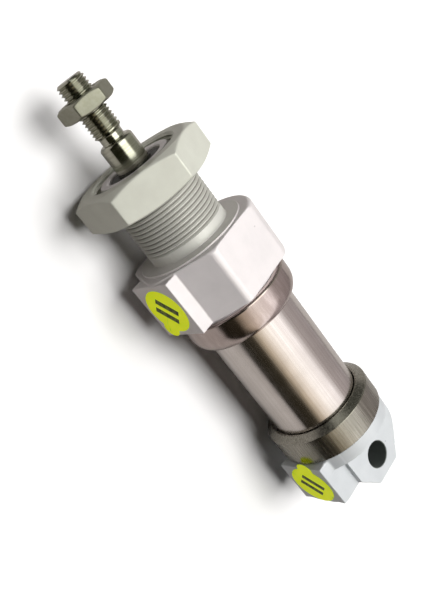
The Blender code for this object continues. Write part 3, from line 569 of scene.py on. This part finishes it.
def nut_shape(flats, clocking, low, high, chamfers):
    """Distance field of a hexagon with chamfered ends."""
    face = flats / 2 * NUT_FACE_SHARE
    rise = flats / 2 / cos(pi / 6) + chamfers[0] / 4 - face

    def shape(points):
        x, y, z = np.moveaxis(points, -1, 0)
        radius = np.hypot(y, z)
        body = smooth_max(x - high, low - x, EDGE)
        for end, chamfer in zip((low - x, x - high), chamfers):
            cone = ((radius - face) * chamfer + end * rise) / sqrt(rise ** 2 + chamfer ** 2)
            body = smooth_max(body, cone, EDGE / 2)
        for index in range(6):
            angle = radians(clocking + 60.0 * index)
            body = smooth_max(body, y * cos(angle) + z * sin(angle) - flats / 2, EDGE)
        return body

    return shape


def hexagon_nut(name, flats, clocking, low, high, bore, chamfers, depth, pitch):
    """Nut with a threaded bore and countersunk mouths."""
    corners = [clocking + 30.0 + 60.0 * index for index in range(6)]
    angles = round_the_axis(2.0, corners, 0.3, 1.8)
    middle = (low + high) / 2
    half = (high - low) / 2
    lead = chamfers[0] * NUT_MOUTH_SHARE
    inner_tilt = np.degrees(atan(half / (bore + lead)))
    edge_tilt = np.degrees(atan((half - max(chamfers)) / (flats / 2 / cos(pi / 6)))) - 0.5
    step = np.degrees(NUT_ROW_SPACING / flats * 2)
    rays = (tilts(middle, inner_tilt, edge_tilt, step) + tilts(middle, edge_tilt, 0.0, 4.0)
            + tilts(middle, 0.0, -edge_tilt, 4.0) + tilts(middle, -edge_tilt, -inner_tilt, step))
    shape = nut_shape(flats, clocking, low, high, chamfers)

    def mouth(x):
        return bore + lead - np.minimum(high - x, x - low)

    rows = []
    for row in thread_rows(low, high, 0.0, -depth, pitch, angles, lambda x: x * 0.0 + REACH):
        x = row[:, 0]
        cut = np.hypot(row[:, 1], row[:, 2])
        rows.append(polar(x, np.maximum(bore + cut, mouth(x)), angles))
    return skin(name, [cast(shape, rays, angles), np.array(rows)[::-1]], loop=True)


def barrel_tube():
    """Thin drawn tube with an outward flange rolled at each end."""
    bend = 1.0 * MM
    outline = [
        (TUBE_HIGH.x, FLANGE_RADIUS), (TUBE_HIGH.x - SHEET, FLANGE_RADIUS),
        (TUBE_HIGH.x - SHEET, TUBE_RADIUS + bend), (TUBE_HIGH.x - SHEET - bend, TUBE_RADIUS),
        (TUBE_LOW.x + SHEET + bend, TUBE_RADIUS), (TUBE_LOW.x + SHEET, TUBE_RADIUS + bend),
        (TUBE_LOW.x + SHEET, FLANGE_RADIUS), (TUBE_LOW.x, FLANGE_RADIUS),
        (TUBE_LOW.x, TUBE_BORE_RADIUS), (TUBE_HIGH.x, TUBE_BORE_RADIUS),
    ]
    return turned("drawn_tube", outline, 0.3 * MM, 2.0)


def arc(centre, radii, start, end, count):
    """Points of an elliptical arc as (x, radius), angles in degrees from +radius."""
    turn = np.radians(np.linspace(start, end, count + 1))
    return list(zip(centre[0] + radii[0] * np.sin(turn), centre[1] + radii[1] * np.cos(turn)))


def crimp_ring(name, lip, side, rounding, closing):
    """Rolled sheet ring: an inward lip, a cylinder, and an end that closes on the tube."""
    corner = (lip - side * rounding, RING_RADIUS - rounding)
    outline = [
        (lip, RING_LIP_RADIUS),
        *arc(corner, (side * rounding, rounding), 90.0, 0.0, 8),
        *closing,
        (lip - side * SHEET, RING_RADIUS - SHEET), (lip - side * SHEET, RING_LIP_RADIUS),
    ]
    return turned(name, outline, 0.12 * MM, 2.0)


def bowl(shoulder, throat):
    """Outline of the front ring's smooth bowl, out to the throat and back inside."""
    centre = (shoulder, RING_THROAT_RADIUS)
    depth = throat - shoulder
    outer = (depth, RING_RADIUS - RING_THROAT_RADIUS)
    inner = (depth + SHEET, RING_RADIUS - SHEET - RING_THROAT_RADIUS)
    return [*arc(centre, outer, 0.0, 90.0, 24), *arc(centre, inner, 90.0, 0.0, 20)]


def cone(crest, throat):
    """Outline of the rear ring's cone behind a crest, out to the throat and back inside."""
    shoulder = (crest - CREST_ROUNDING, RING_RADIUS - CREST_ROUNDING)
    lip = 0.5 * MM
    inner_radius = RING_RADIUS - SHEET
    return [
        *arc(shoulder, (CREST_ROUNDING, CREST_ROUNDING), 0.0, 75.0, 8),
        (throat - 0.2 * MM, RING_THROAT_RADIUS + 0.9 * MM), (throat - lip, RING_THROAT_RADIUS),
        (throat - SHEET - lip, RING_THROAT_RADIUS), (crest - SHEET, inner_radius - CREST_ROUNDING),
        (crest - SHEET - CREST_ROUNDING, inner_radius),
    ]


def piston_rod():
    """Rod with its rolled thread, undercut, shoulder and the spigot for the piston."""
    angles = round_the_axis(4.0)
    tip_chamfer = 0.9 * MM
    chamfer = 0.8 * MM
    tip = [(ROD_HIGH.x, 0.0), (ROD_HIGH.x, ROD_THREAD_RADIUS - tip_chamfer - 0.05 * MM)]
    thread = thread_rows(
        ROD_THREAD_END, ROD_HIGH.x, ROD_THREAD_RADIUS, ROD_ROOT_RADIUS, ROD_PITCH, angles,
        lambda x: ROD_THREAD_RADIUS - tip_chamfer + (ROD_HIGH.x - x), fade=0.6 * MM)
    shank = [
        (ROD_THREAD_END, ROD_THREAD_RADIUS), (ROD_THREAD_END - chamfer, UNDERCUT_RADIUS),
        (ROD_SHOULDER + chamfer, UNDERCUT_RADIUS), (ROD_SHOULDER + chamfer, ROD_RADIUS - chamfer),
        (ROD_SHOULDER, ROD_RADIUS), (PISTON_SEAT, ROD_RADIUS), (PISTON_SEAT, ROD_SPIGOT_RADIUS),
        (ROD_LOW.x, ROD_SPIGOT_RADIUS), (ROD_LOW.x, 0.0),
    ]
    return skin("turned_rod", [
        rings(tip, angles), thread, rings(rounded(shank, 0.35 * MM), angles)])


def wiper():
    """Rubber wiper with its lip on the rod."""
    heel = 7.2 * MM
    lip = ROD_RADIUS + 0.15 * MM
    edge = 0.6 * MM
    outline = [
        (WIPER_HIGH.x - edge, WIPER_HIGH.y), (WIPER_LOW.x, WIPER_HIGH.y), (WIPER_LOW.x, heel),
        (WIPER_LOW.x + 1.6 * MM, heel), (WIPER_HIGH.x - 0.4 * MM, lip),
        (WIPER_HIGH.x, lip + 0.5 * MM), (WIPER_HIGH.x, WIPER_HIGH.y - edge),
    ]
    return turned("rod_wiper_lip", outline, 0.15 * MM, 4.0)


def port_sticker(name, node, tab_angle):
    """Printed film over a port: a flat round sheet whose pull tab lifts a little."""
    low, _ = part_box(node)
    centre = Vector((0.0, low.y - STICKER_SINK + STICKER_LIFT, 0.0))
    centre.x = FRONT_PORT_X if node == "front_port_sticker" else REAR_PORT_X
    angles = round_the_axis(3.0, (0.0,), 0.5, 24.0)
    reach = np.full(angles.shape, STICKER_RADIUS)
    across = np.abs(np.sin(angles))
    tip = TAB_REACH - TAB_HALF_WIDTH
    ahead = np.cos(angles) > 0.0
    # The tab's edge is its round tip or, closer in, its straight sides
    along = tip * np.cos(angles) + np.sqrt(
        np.maximum(TAB_HALF_WIDTH ** 2 - (tip * across) ** 2, 0.0))
    side = TAB_HALF_WIDTH / np.maximum(across, 0.01)
    touches = ahead & (tip * across < TAB_HALF_WIDTH)
    tab = np.where(touches, along, 0.0)
    tab = np.where(ahead & (side * np.cos(angles) < tip), side, tab)
    tab = np.where(tab * across > TAB_HALF_WIDTH * 1.001, 0.0, tab)
    reach = np.maximum(reach, tab)
    turn = angles + radians(tab_angle)
    disc = STICKER_RADIUS * DISC_SHARE
    distances = [disc * share + reach * 0.0 for share in DISC_ROWS]
    distances += [disc + (reach - disc) * share for share in RIM_ROWS]
    rows = []
    for top, order in ((True, distances), (False, distances[::-1])):
        for distance in order:
            beyond = np.maximum(distance - STICKER_RADIUS, 0.0)
            share = np.minimum(beyond / (TAB_REACH - STICKER_RADIUS), 1.0)
            height = TAB_LIFT * np.sin(share * pi / 2) + (STICKER_THICKNESS if top else 0.0)
            rows.append(np.stack((
                centre.x + distance * np.cos(turn), centre.y + height,
                distance * np.sin(turn)), -1))
    return skin(name, [np.array(rows)])


# ---------------------------------------------------------------- materials

class Nodes:
    """Short calls for building the node tree of a material or of the world."""

    def __init__(self, owner, shader="Principled BSDF"):
        owner.use_nodes = True
        self.owner = owner
        self.tree = owner.node_tree
        self.shader = self.tree.nodes[shader]

    def node(self, kind, **settings):
        """New node with its settings."""
        item = self.tree.nodes.new(kind)
        for key, value in settings.items():
            setattr(item, key, value)
        return item

    def feed(self, source, target):
        """Link a socket to the target, or set the target to a value."""
        if isinstance(source, bpy.types.NodeSocket):
            self.tree.links.new(source, target)
        else:
            target.default_value = source

    def place(self, scale=(1.0, 1.0, 1.0)):
        """Object coordinates stretched along each axis."""
        coordinates = self.node("ShaderNodeTexCoord")
        mapping = self.node("ShaderNodeMapping")
        mapping.inputs["Scale"].default_value = scale
        self.feed(coordinates.outputs["Object"], mapping.inputs["Vector"])
        return mapping.outputs["Vector"]

    def split_and_radius(self):
        """Separate object coordinates, and the distance from the cylinder's axis."""
        coordinates = self.node("ShaderNodeTexCoord")
        split = self.node("ShaderNodeSeparateXYZ")
        self.feed(coordinates.outputs["Object"], split.inputs[0])
        join = self.node("ShaderNodeCombineXYZ")
        self.feed(split.outputs["Y"], join.inputs["X"])
        self.feed(split.outputs["Z"], join.inputs["Y"])
        length = self.node("ShaderNodeVectorMath", operation="LENGTH")
        self.feed(join.outputs[0], length.inputs[0])
        return split, length.outputs["Value"]

    def turned_place(self, along, radial):
        """Coordinates that change along the axis and with the radius, but not round the axis."""
        split, radius = self.split_and_radius()
        result = self.node("ShaderNodeCombineXYZ")
        self.feed(self.math("MULTIPLY", split.outputs["X"], along), result.inputs["X"])
        self.feed(self.math("MULTIPLY", radius, radial), result.inputs["Y"])
        return result.outputs[0]

    def noise(self, vector, scale, detail=3.0, roughness=0.5):
        """Noise over some coordinates."""
        item = self.node("ShaderNodeTexNoise")
        self.feed(vector, item.inputs["Vector"])
        item.inputs["Scale"].default_value = scale
        item.inputs["Detail"].default_value = detail
        item.inputs["Roughness"].default_value = roughness
        return item.outputs["Fac"]

    def math(self, operation, first, second=0.0):
        """One sum, product or other operation on two values."""
        item = self.node("ShaderNodeMath", operation=operation)
        self.feed(first, item.inputs[0])
        self.feed(second, item.inputs[1])
        return item.outputs[0]

    def remap(self, value, low, high, to_low, to_high):
        """Value carried from one range to another and held inside it."""
        item = self.node("ShaderNodeMapRange")
        self.feed(value, item.inputs["Value"])
        for key, number in (("From Min", low), ("From Max", high),
                            ("To Min", to_low), ("To Max", to_high)):
            item.inputs[key].default_value = number
        return item.outputs["Result"]

    def mix(self, factor, first, second):
        """Blend of two colours; each is a socket or three numbers."""
        item = self.node("ShaderNodeMix", data_type="RGBA")
        self.feed(factor, item.inputs["Factor"])
        for colour, target in ((first, item.inputs[6]), (second, item.inputs[7])):
            plain = not isinstance(colour, bpy.types.NodeSocket)
            self.feed((*colour, 1.0) if plain else colour, target)
        return item.outputs[2]

    def bump(self, height, strength, distance, normal=None):
        """Normal tilted by a height, on top of another bump if one is given."""
        item = self.node("ShaderNodeBump")
        item.inputs["Strength"].default_value = strength
        item.inputs["Distance"].default_value = distance
        self.feed(height, item.inputs["Height"])
        if normal is not None:
            self.feed(normal, item.inputs["Normal"])
        return item.outputs["Normal"]

    def bands(self, angle, stops):
        """Colours by angle round the cylinder's axis, from +Y towards +Z."""
        item = self.node("ShaderNodeValToRGB")
        self.feed(angle, item.inputs["Fac"])
        elements = item.color_ramp.elements
        while len(elements) < len(stops):
            elements.new(0.5)
        for element, (degrees, colour) in zip(elements, stops):
            element.position = (degrees + 180.0) / 360.0
            element.color = (*colour, 1.0)
        return item.outputs["Color"]

    def edges(self, low, high):
        """1 on convex edges, 0 on flat and hollow places."""
        geometry = self.node("ShaderNodeNewGeometry")
        return self.remap(geometry.outputs["Pointiness"], low, high, 0.0, 1.0)

    def finish(self, colour, roughness, normal, **values):
        """Connect the main sockets, set plain values on the others, and return the owner."""
        self.feed(colour, self.shader.inputs["Base Color"])
        self.feed(roughness, self.shader.inputs["Roughness"])
        self.feed(normal, self.shader.inputs["Normal"])
        for key, value in values.items():
            self.shader.inputs[key].default_value = value
        return self.owner


def new_material(name):
    """Nodes of a new material."""
    return Nodes(bpy.data.materials.new(name))


def paint_neck_shade(nodes, base):
    """Painted shade on the threaded neck: a darker, slightly olive tone, darkest in the thread's
    root.
    """
    split, radius = nodes.split_and_radius()
    neck = nodes.remap(split.outputs["X"], -0.5 * MM, 0.5 * MM, 0.0, 1.0)
    outside = nodes.remap(radius, NECK_RADIUS - 2.0 * MM, NECK_RADIUS - 1.6 * MM, 0.0, 1.0)
    # Painted shade: the neck darker and a little olive
    base = nodes.mix(nodes.math("MULTIPLY", neck, outside), base, NECK_SHADE_TONE)
    # Painted shade: the thread's root darker still
    along = nodes.remap(split.outputs["X"], NECK_THREAD_START + 0.4 * MM,
                        NECK_THREAD_START + 0.8 * MM, 0.0, 1.0)
    root = nodes.remap(radius, NECK_RADIUS - 0.78 * MM, NECK_RADIUS - 0.52 * MM, 1.0, 0.0)
    root = nodes.math("MULTIPLY", root, outside)
    return nodes.mix(nodes.math("MULTIPLY", along, root), base, THREAD_ROOT_SHADE)


def paint_eye_wall_shade(nodes, base):
    """The rear eye's wall: painted shade makes it dark."""
    coordinates = nodes.node("ShaderNodeTexCoord")
    flat = nodes.node("ShaderNodeVectorMath", operation="MULTIPLY_ADD")
    nodes.feed(coordinates.outputs["Object"], flat.inputs[0])
    flat.inputs[1].default_value = (1.0, 1.0, 0.0)
    flat.inputs[2].default_value = (-EYE_X, 0.0, 0.0)
    length = nodes.node("ShaderNodeVectorMath", operation="LENGTH")
    nodes.feed(flat.outputs[0], length.inputs[0])
    wall = nodes.remap(length.outputs["Value"], EYE_RADIUS + 0.1 * MM, EYE_RADIUS + 0.3 * MM,
                       1.0, 0.0)
    # Painted shade: the eye's wall turns dark
    return nodes.mix(wall, base, EYE_WALL_SHADE)


def satin_aluminium(name, colour, shade, zone=None):
    """Blasted and anodised aluminium: fine grain, faint mottling, specks, rubbed edges, and painted
    shade on part of the piece if asked for.
    """
    nodes = new_material(name)
    place = nodes.place()
    mottle = nodes.noise(place, 130.0, 4.0, 0.6)
    grain = nodes.noise(place, 5200.0, 2.0, 0.6)
    base = nodes.mix(nodes.remap(mottle, 0.35, 0.68, 0.0, 1.0), colour, shade)
    base = nodes.mix(nodes.math("MULTIPLY", nodes.edges(0.52, 0.58), 0.35), base,
                     tuple(min(1.0, part * 1.25) for part in colour))
    # Optional painted shade over part of the piece, such as the neck or the rear eye's wall
    if zone:
        base = zone(nodes, base)
    speck = nodes.node("ShaderNodeTexVoronoi")
    nodes.feed(nodes.place((1.0, 0.7, 0.7)), speck.inputs["Vector"])
    speck.inputs["Scale"].default_value = 210.0
    near = nodes.remap(speck.outputs["Distance"], 0.035, 0.075, 1.0, 0.0)
    rare = nodes.remap(nodes.noise(place, 95.0, 1.0), 0.62, 0.66, 0.0, 0.55)
    base = nodes.mix(nodes.math("MULTIPLY", near, rare), base,
                     tuple(part * 0.28 for part in colour))
    rough = nodes.remap(grain, 0.3, 0.7, ANODISED_ROUGHNESS - 0.05, ANODISED_ROUGHNESS + 0.08)
    marks = nodes.noise(nodes.turned_place(4200.0, 4200.0), 1.0, 1.0)
    normal = nodes.bump(grain, 0.16, 0.03 * MM)
    normal = nodes.bump(marks, 0.05, 0.02 * MM, normal)
    return nodes.finish(base, rough, normal, Metallic=ANODISED_METALLIC)


def brushed_steel(name, colour, shade, roughness, streaks, depth):
    """Steel with streaks along the axis (drawn) or round it (ground), and dull patches."""
    nodes = new_material(name)
    lines = nodes.noise(nodes.place(streaks), 1.0, 5.0, 0.65)
    patches = nodes.noise(nodes.place(), 95.0, 3.0, 0.55)
    wear = nodes.remap(patches, 0.38, 0.66, 0.0, 1.0)
    base = nodes.mix(nodes.remap(lines, 0.36, 0.64, 0.0, 1.0), shade, colour)
    base = nodes.mix(nodes.math("MULTIPLY", wear, 0.35), base, tuple(part * 0.82 for part in shade))
    rough = nodes.math("ADD", nodes.remap(lines, 0.3, 0.7, roughness - 0.04, roughness + 0.05),
                       nodes.math("MULTIPLY", wear, 0.05))
    normal = nodes.bump(lines, depth, 0.02 * MM)
    return nodes.finish(base, rough, normal, Metallic=1.0)


def sticker_film(name, centre_x):
    """Yellow film with a painted glow from emission, a darker cut edge and two plain dark bars."""
    nodes = new_material(name)
    coordinates = nodes.node("ShaderNodeTexCoord")

    def stripe(heading, middle, half):
        """1 within half a width of the middle along a heading in the sticker's plane."""
        dot = nodes.node("ShaderNodeVectorMath", operation="DOT_PRODUCT")
        nodes.feed(coordinates.outputs["Object"], dot.inputs[0])
        dot.inputs[1].default_value = (cos(heading), 0.0, sin(heading))
        offset = nodes.math("SUBTRACT", dot.outputs["Value"], middle + centre_x * cos(heading))
        return nodes.remap(nodes.math("ABSOLUTE", offset), half, half + BAR_SOFT_EDGE, 1.0, 0.0)

    length = stripe(BAR_ANGLE, 0.0, BAR_HALF_LENGTH)
    rows = [stripe(BAR_ANGLE + pi / 2, middle, BAR_HALF_WIDTH)
            for middle in (-BAR_OFFSET, BAR_OFFSET)]
    ink = nodes.math("MULTIPLY", length, nodes.math("MAXIMUM", *rows))
    place = nodes.place()
    fibre = nodes.noise(place, 900.0, 3.0, 0.6)
    blotch = nodes.noise(place, 170.0, 2.0, 0.5)
    base = nodes.mix(nodes.remap(blotch, 0.35, 0.65, 0.0, 1.0), (0.78, 0.88, 0.006),
                     (0.70, 0.82, 0.004))
    base = nodes.mix(nodes.edges(0.53, 0.6), base, (0.5, 0.6, 0.01))
    base = nodes.mix(nodes.math("MULTIPLY", ink, nodes.remap(fibre, 0.3, 0.6, 0.85, 1.0)), base,
                     (0.03, 0.04, 0.015))
    # Painted glow: the film emits its own colour
    nodes.feed(base, nodes.shader.inputs["Emission Color"])
    nodes.shader.inputs["Emission Strength"].default_value = FILM_GLOW
    nodes.shader.inputs["Specular IOR Level"].default_value = 0.2
    rough = nodes.remap(fibre, 0.3, 0.7, 0.42, 0.55)
    return nodes.finish(base, rough, nodes.bump(fibre, 0.12, 0.02 * MM), Metallic=0.0)


def rubber(name, colour, roughness=0.62):
    """Moulded rubber with a fine matt grain and dusty patches."""
    nodes = new_material(name)
    place = nodes.place()
    grain = nodes.noise(place, 3500.0, 3.0, 0.6)
    dust = nodes.noise(place, 220.0, 3.0, 0.6)
    base = nodes.mix(nodes.remap(dust, 0.45, 0.75, 0.0, 0.6), colour,
                     tuple(part * 1.6 + 0.02 for part in colour))
    rough = nodes.remap(grain, 0.3, 0.7, roughness - 0.07, roughness + 0.1)
    return nodes.finish(base, rough, nodes.bump(grain, 0.25, 0.03 * MM), Metallic=0.0)


def turned_metal(name, colour, shade, roughness):
    """Turned face with lathe marks round the axis."""
    nodes = new_material(name)
    marks = nodes.noise(nodes.turned_place(3000.0, 3000.0), 1.0, 2.0, 0.5)
    patches = nodes.noise(nodes.place(), 160.0, 3.0, 0.6)
    base = nodes.mix(nodes.remap(patches, 0.35, 0.7, 0.0, 1.0), colour, shade)
    rough = nodes.remap(marks, 0.3, 0.7, roughness - 0.06, roughness + 0.08)
    return nodes.finish(base, rough, nodes.bump(marks, 0.2, 0.03 * MM), Metallic=1.0)


def plastic(name, colour, roughness=0.45):
    """Moulded plastic with a faint grain."""
    nodes = new_material(name)
    place = nodes.place()
    grain = nodes.noise(place, 1800.0, 3.0, 0.5)
    tone = nodes.noise(place, 150.0, 2.0, 0.5)
    base = nodes.mix(nodes.remap(tone, 0.35, 0.7, 0.0, 1.0), colour,
                     tuple(part * 0.85 for part in colour))
    rough = nodes.remap(grain, 0.3, 0.7, roughness - 0.05, roughness + 0.07)
    return nodes.finish(base, rough, nodes.bump(grain, 0.12, 0.02 * MM), Metallic=0.0)


def make_materials():
    """Finishes for the material slots, and two more for the rear cap and its ring: darker copies
    whose tones are painted shade.
    """
    return {
        "cap_aluminium": satin_aluminium(
            "cap_aluminium", (0.71, 0.675, 0.675), (0.66, 0.63, 0.63), paint_neck_shade),
        # Darker, bluish copy of the cap's aluminium: painted shade and tint of the light on the
        # rear cap
        "rear_cap_aluminium": satin_aluminium(
            "rear_cap_aluminium", (0.54, 0.565, 0.58), (0.50, 0.525, 0.54), paint_eye_wall_shade),
        "nut_aluminium": satin_aluminium(
            "nut_aluminium", (0.59, 0.60, 0.53), (0.55, 0.555, 0.49)),
        "stainless_tube": brushed_steel(
            "stainless_tube", (0.74, 0.70, 0.675), (0.64, 0.59, 0.56), 0.17,
            (10.0, 1300.0, 1300.0), 0.10),
        "stainless_ring": brushed_steel(
            "stainless_ring", (0.60, 0.52, 0.50), (0.44, 0.37, 0.345), 0.16,
            (60.0, 330.0, 330.0), 0.10),
        # Darker copy of the ring steel: painted shade on the rear ring
        "rear_ring_steel": brushed_steel(
            "rear_ring_steel", (0.41, 0.395, 0.35), (0.25, 0.24, 0.205), 0.24,
            (60.0, 1500.0, 1500.0), 0.10),
        "rod_steel": brushed_steel(
            "rod_steel", (0.52, 0.52, 0.45), (0.36, 0.36, 0.29), 0.12,
            (2400.0, 90.0, 90.0), 0.1),
        "lock_nut_steel": brushed_steel(
            "lock_nut_steel", (0.36, 0.36, 0.30), (0.30, 0.30, 0.24), 0.42,
            (900.0, 900.0, 900.0), 0.2),
        "black_rubber": rubber("black_rubber", (0.02, 0.02, 0.02)),
        "green_rubber": rubber("green_rubber", (0.03, 0.16, 0.09), 0.55),
        "bronze_bush": turned_metal("bronze_bush", (0.45, 0.30, 0.14), (0.36, 0.23, 0.10), 0.42),
        "dark_magnet": plastic("dark_magnet", (0.07, 0.07, 0.08), 0.5),
        "white_guide": plastic("white_guide", (0.75, 0.74, 0.70)),
        "piston_aluminium": turned_metal(
            "piston_aluminium", (0.70, 0.70, 0.71), (0.60, 0.60, 0.61), 0.32),
        "zinc_steel": turned_metal("zinc_steel", (0.60, 0.60, 0.62), (0.50, 0.51, 0.54), 0.33),
    }


# ---------------------------------------------------------------- assembly

def build_pieces(materials):
    """Fine meshes over the CAD bodies, each with its finish."""
    def add(item, body, node, slot, material=None):
        dress(item, body, (node,), material or materials[slot])

    add(front_cap(), "barrel", "front_cap", "cap_aluminium")
    add(rear_cap(), "barrel", "rear_cap", "cap_aluminium", materials["rear_cap_aluminium"])
    add(barrel_tube(), "barrel", "barrel_tube", "stainless_tube")
    front_closing = bowl(FRONT_RING_SHOULDER, RING_LOW.x)
    add(crimp_ring("front_rolled_ring", RING_HIGH.x, 1.0, RING_ROUNDING, front_closing),
        "barrel", "front_crimp_ring", "stainless_ring")
    rear_closing = cone(REAR_RING_CREST, BACK_RING_HIGH.x)
    add(crimp_ring("rear_rolled_ring", BACK_RING_LOW.x, -1.0, CREST_ROUNDING, rear_closing),
        "barrel", "rear_crimp_ring", "stainless_ring", materials["rear_ring_steel"])
    add(wiper(), "barrel", "rod_wiper_seal", "black_rubber")
    add(piston_rod(), "rod", "piston_rod", "rod_steel")
    add(hexagon_nut("threaded_mounting_nut", NUT_FLATS, NUT_CLOCKING, NUT_LOW.x, NUT_HIGH.x,
                    NUT_BORE, NUT_CHAMFERS, NUT_THREAD_DEPTH, NECK_PITCH),
        "mounting_nut", "mounting_nut", "nut_aluminium")
    add(hexagon_nut("threaded_lock_nut", LOCK_FLATS, LOCK_CLOCKING, LOCK_LOW.x, LOCK_HIGH.x,
                    LOCK_BORE, LOCK_CHAMFERS, LOCK_THREAD_DEPTH, ROD_PITCH),
        "lock_nut", "rod_lock_nut", "lock_nut_steel")
    for side, x, tab_angle in (("front", FRONT_PORT_X, FRONT_TAB_ANGLE),
                               ("rear", REAR_PORT_X, REAR_TAB_ANGLE)):
        node = side + "_port_sticker"
        film = sticker_film(side + "_sticker_film", x)
        add(port_sticker(side + "_port_label", node, tab_angle), "barrel", node,
            "sticker_yellow", film)


def finish_cad_nodes(materials):
    """Procedural finishes for the CAD nodes that stay as they are."""
    for entry in frame["record"]["subparts"]:
        if entry["material_slot"] in materials:
            item = frame["nodes"][entry["node"]]
            item.data.materials.clear()
            item.data.materials.append(materials[entry["material_slot"]])


def make_floor():
    """Large pale floor under the lowest point, darker in reflections and lit up far away."""
    low, _ = CAD_BOX
    bpy.ops.mesh.primitive_plane_add(size=FLOOR_SIZE, location=(0.0, 0.0, low.z - FLOOR_GAP))
    floor = bpy.context.object
    floor.name = "floor"
    nodes = new_material("pale_floor")
    tone = nodes.noise(nodes.place(), 3.0, 2.0)
    seen = nodes.mix(tone, *FLOOR_TONES)
    seen_directly = nodes.node("ShaderNodeLightPath").outputs["Is Camera Ray"]
    base = nodes.mix(seen_directly, FLOOR_BOUNCE, seen)
    nodes.feed(base, nodes.shader.inputs["Base Color"])
    coordinates = nodes.node("ShaderNodeTexCoord")
    distance = nodes.node("ShaderNodeVectorMath", operation="LENGTH")
    nodes.feed(coordinates.outputs["Object"], distance.inputs[0])
    far = nodes.remap(distance.outputs["Value"], *FLOOR_GLOW_RANGE, 0.0, FLOOR_GLOW)
    glow = nodes.math("MULTIPLY", far, seen_directly)
    nodes.feed(seen, nodes.shader.inputs["Emission Color"])
    nodes.feed(glow, nodes.shader.inputs["Emission Strength"])
    nodes.shader.inputs["Roughness"].default_value = 0.75
    nodes.shader.inputs["Specular IOR Level"].default_value = 0.15
    floor.data.materials.append(nodes.owner)


def area_light(name, place, side, power, colour):
    """Soft square light aimed at the cylinder, and left out of its reflections."""
    light = bpy.data.lights.new(name, "AREA")
    light.shape = "RECTANGLE"
    light.size = side
    light.size_y = side
    light.energy = power
    light.color = colour
    item = bpy.data.objects.new(name, light)
    item.location = place
    item.rotation_euler = (Vector(LIGHT_TARGET) - Vector(place)).to_track_quat("-Z", "Y").to_euler()
    item.visible_camera = False
    item.visible_glossy = False
    bpy.context.scene.collection.objects.link(item)


def light_the_scene():
    """Broad overhead light, and a weaker one from the -Y side that lifts the upper flats."""
    area_light("key", (-0.03, -0.04, 1.2), 0.7, 17.5, (1.0, 0.99, 0.985))
    area_light("side", (-0.03, -0.77, 0.92), 0.8, 6.5, (1.0, 0.985, 0.98))


def make_world():
    """Surroundings that only reflections show: bands round the axis; the camera sees white."""
    world = bpy.data.worlds.new("studio")
    bpy.context.scene.world = world
    nodes = Nodes(world, "Background")
    coordinates = nodes.node("ShaderNodeTexCoord")
    split = nodes.node("ShaderNodeSeparateXYZ")
    nodes.feed(coordinates.outputs["Generated"], split.inputs[0])
    angle = nodes.math("ARCTAN2", split.outputs["Z"], split.outputs["Y"])
    turn = nodes.remap(angle, -pi, pi, 0.0, 1.0)
    rear = nodes.bands(turn, REAR_BANDS)
    rod_end = nodes.bands(turn, ROD_END_BANDS)
    blend = nodes.mix(nodes.remap(split.outputs["X"], *BLEND_RANGE, 0.0, 1.0), rear, rod_end)
    share = nodes.remap(split.outputs["X"], *DIM_RANGE, 1.0, DIM_SHARE)
    dimmed = nodes.node("ShaderNodeVectorMath", operation="SCALE")
    nodes.feed(blend, dimmed.inputs[0])
    nodes.feed(share, dimmed.inputs["Scale"])
    seen_directly = nodes.node("ShaderNodeLightPath").outputs["Is Camera Ray"]
    shown = nodes.mix(seen_directly, dimmed.outputs[0], BACKDROP)
    nodes.feed(shown, nodes.shader.inputs["Color"])
    world.cycles_visibility.diffuse = False


def make_camera():
    """Camera above the rod end's side, rolled so that the cylinder crosses the frame."""
    camera = bpy.data.cameras.new("camera")
    camera.sensor_width = SENSOR
    camera.lens = FOCAL_HEIGHT / IMAGE_HEIGHT * SENSOR
    camera.clip_start = 0.01
    camera.clip_end = 20.0
    item = bpy.data.objects.new("camera", camera)
    back = CAMERA_RIGHT.cross(CAMERA_UP)
    pose = Matrix((CAMERA_RIGHT, CAMERA_UP, back)).transposed().to_4x4()
    pose.translation = CAMERA_PLACE
    item.matrix_world = pose
    bpy.context.scene.collection.objects.link(item)
    bpy.context.scene.camera = item


finishes = make_materials()
build_pieces(finishes)
finish_cad_nodes(finishes)
make_floor()
make_world()
light_the_scene()
make_camera()
bpy.context.scene.view_settings.view_transform = "Standard"
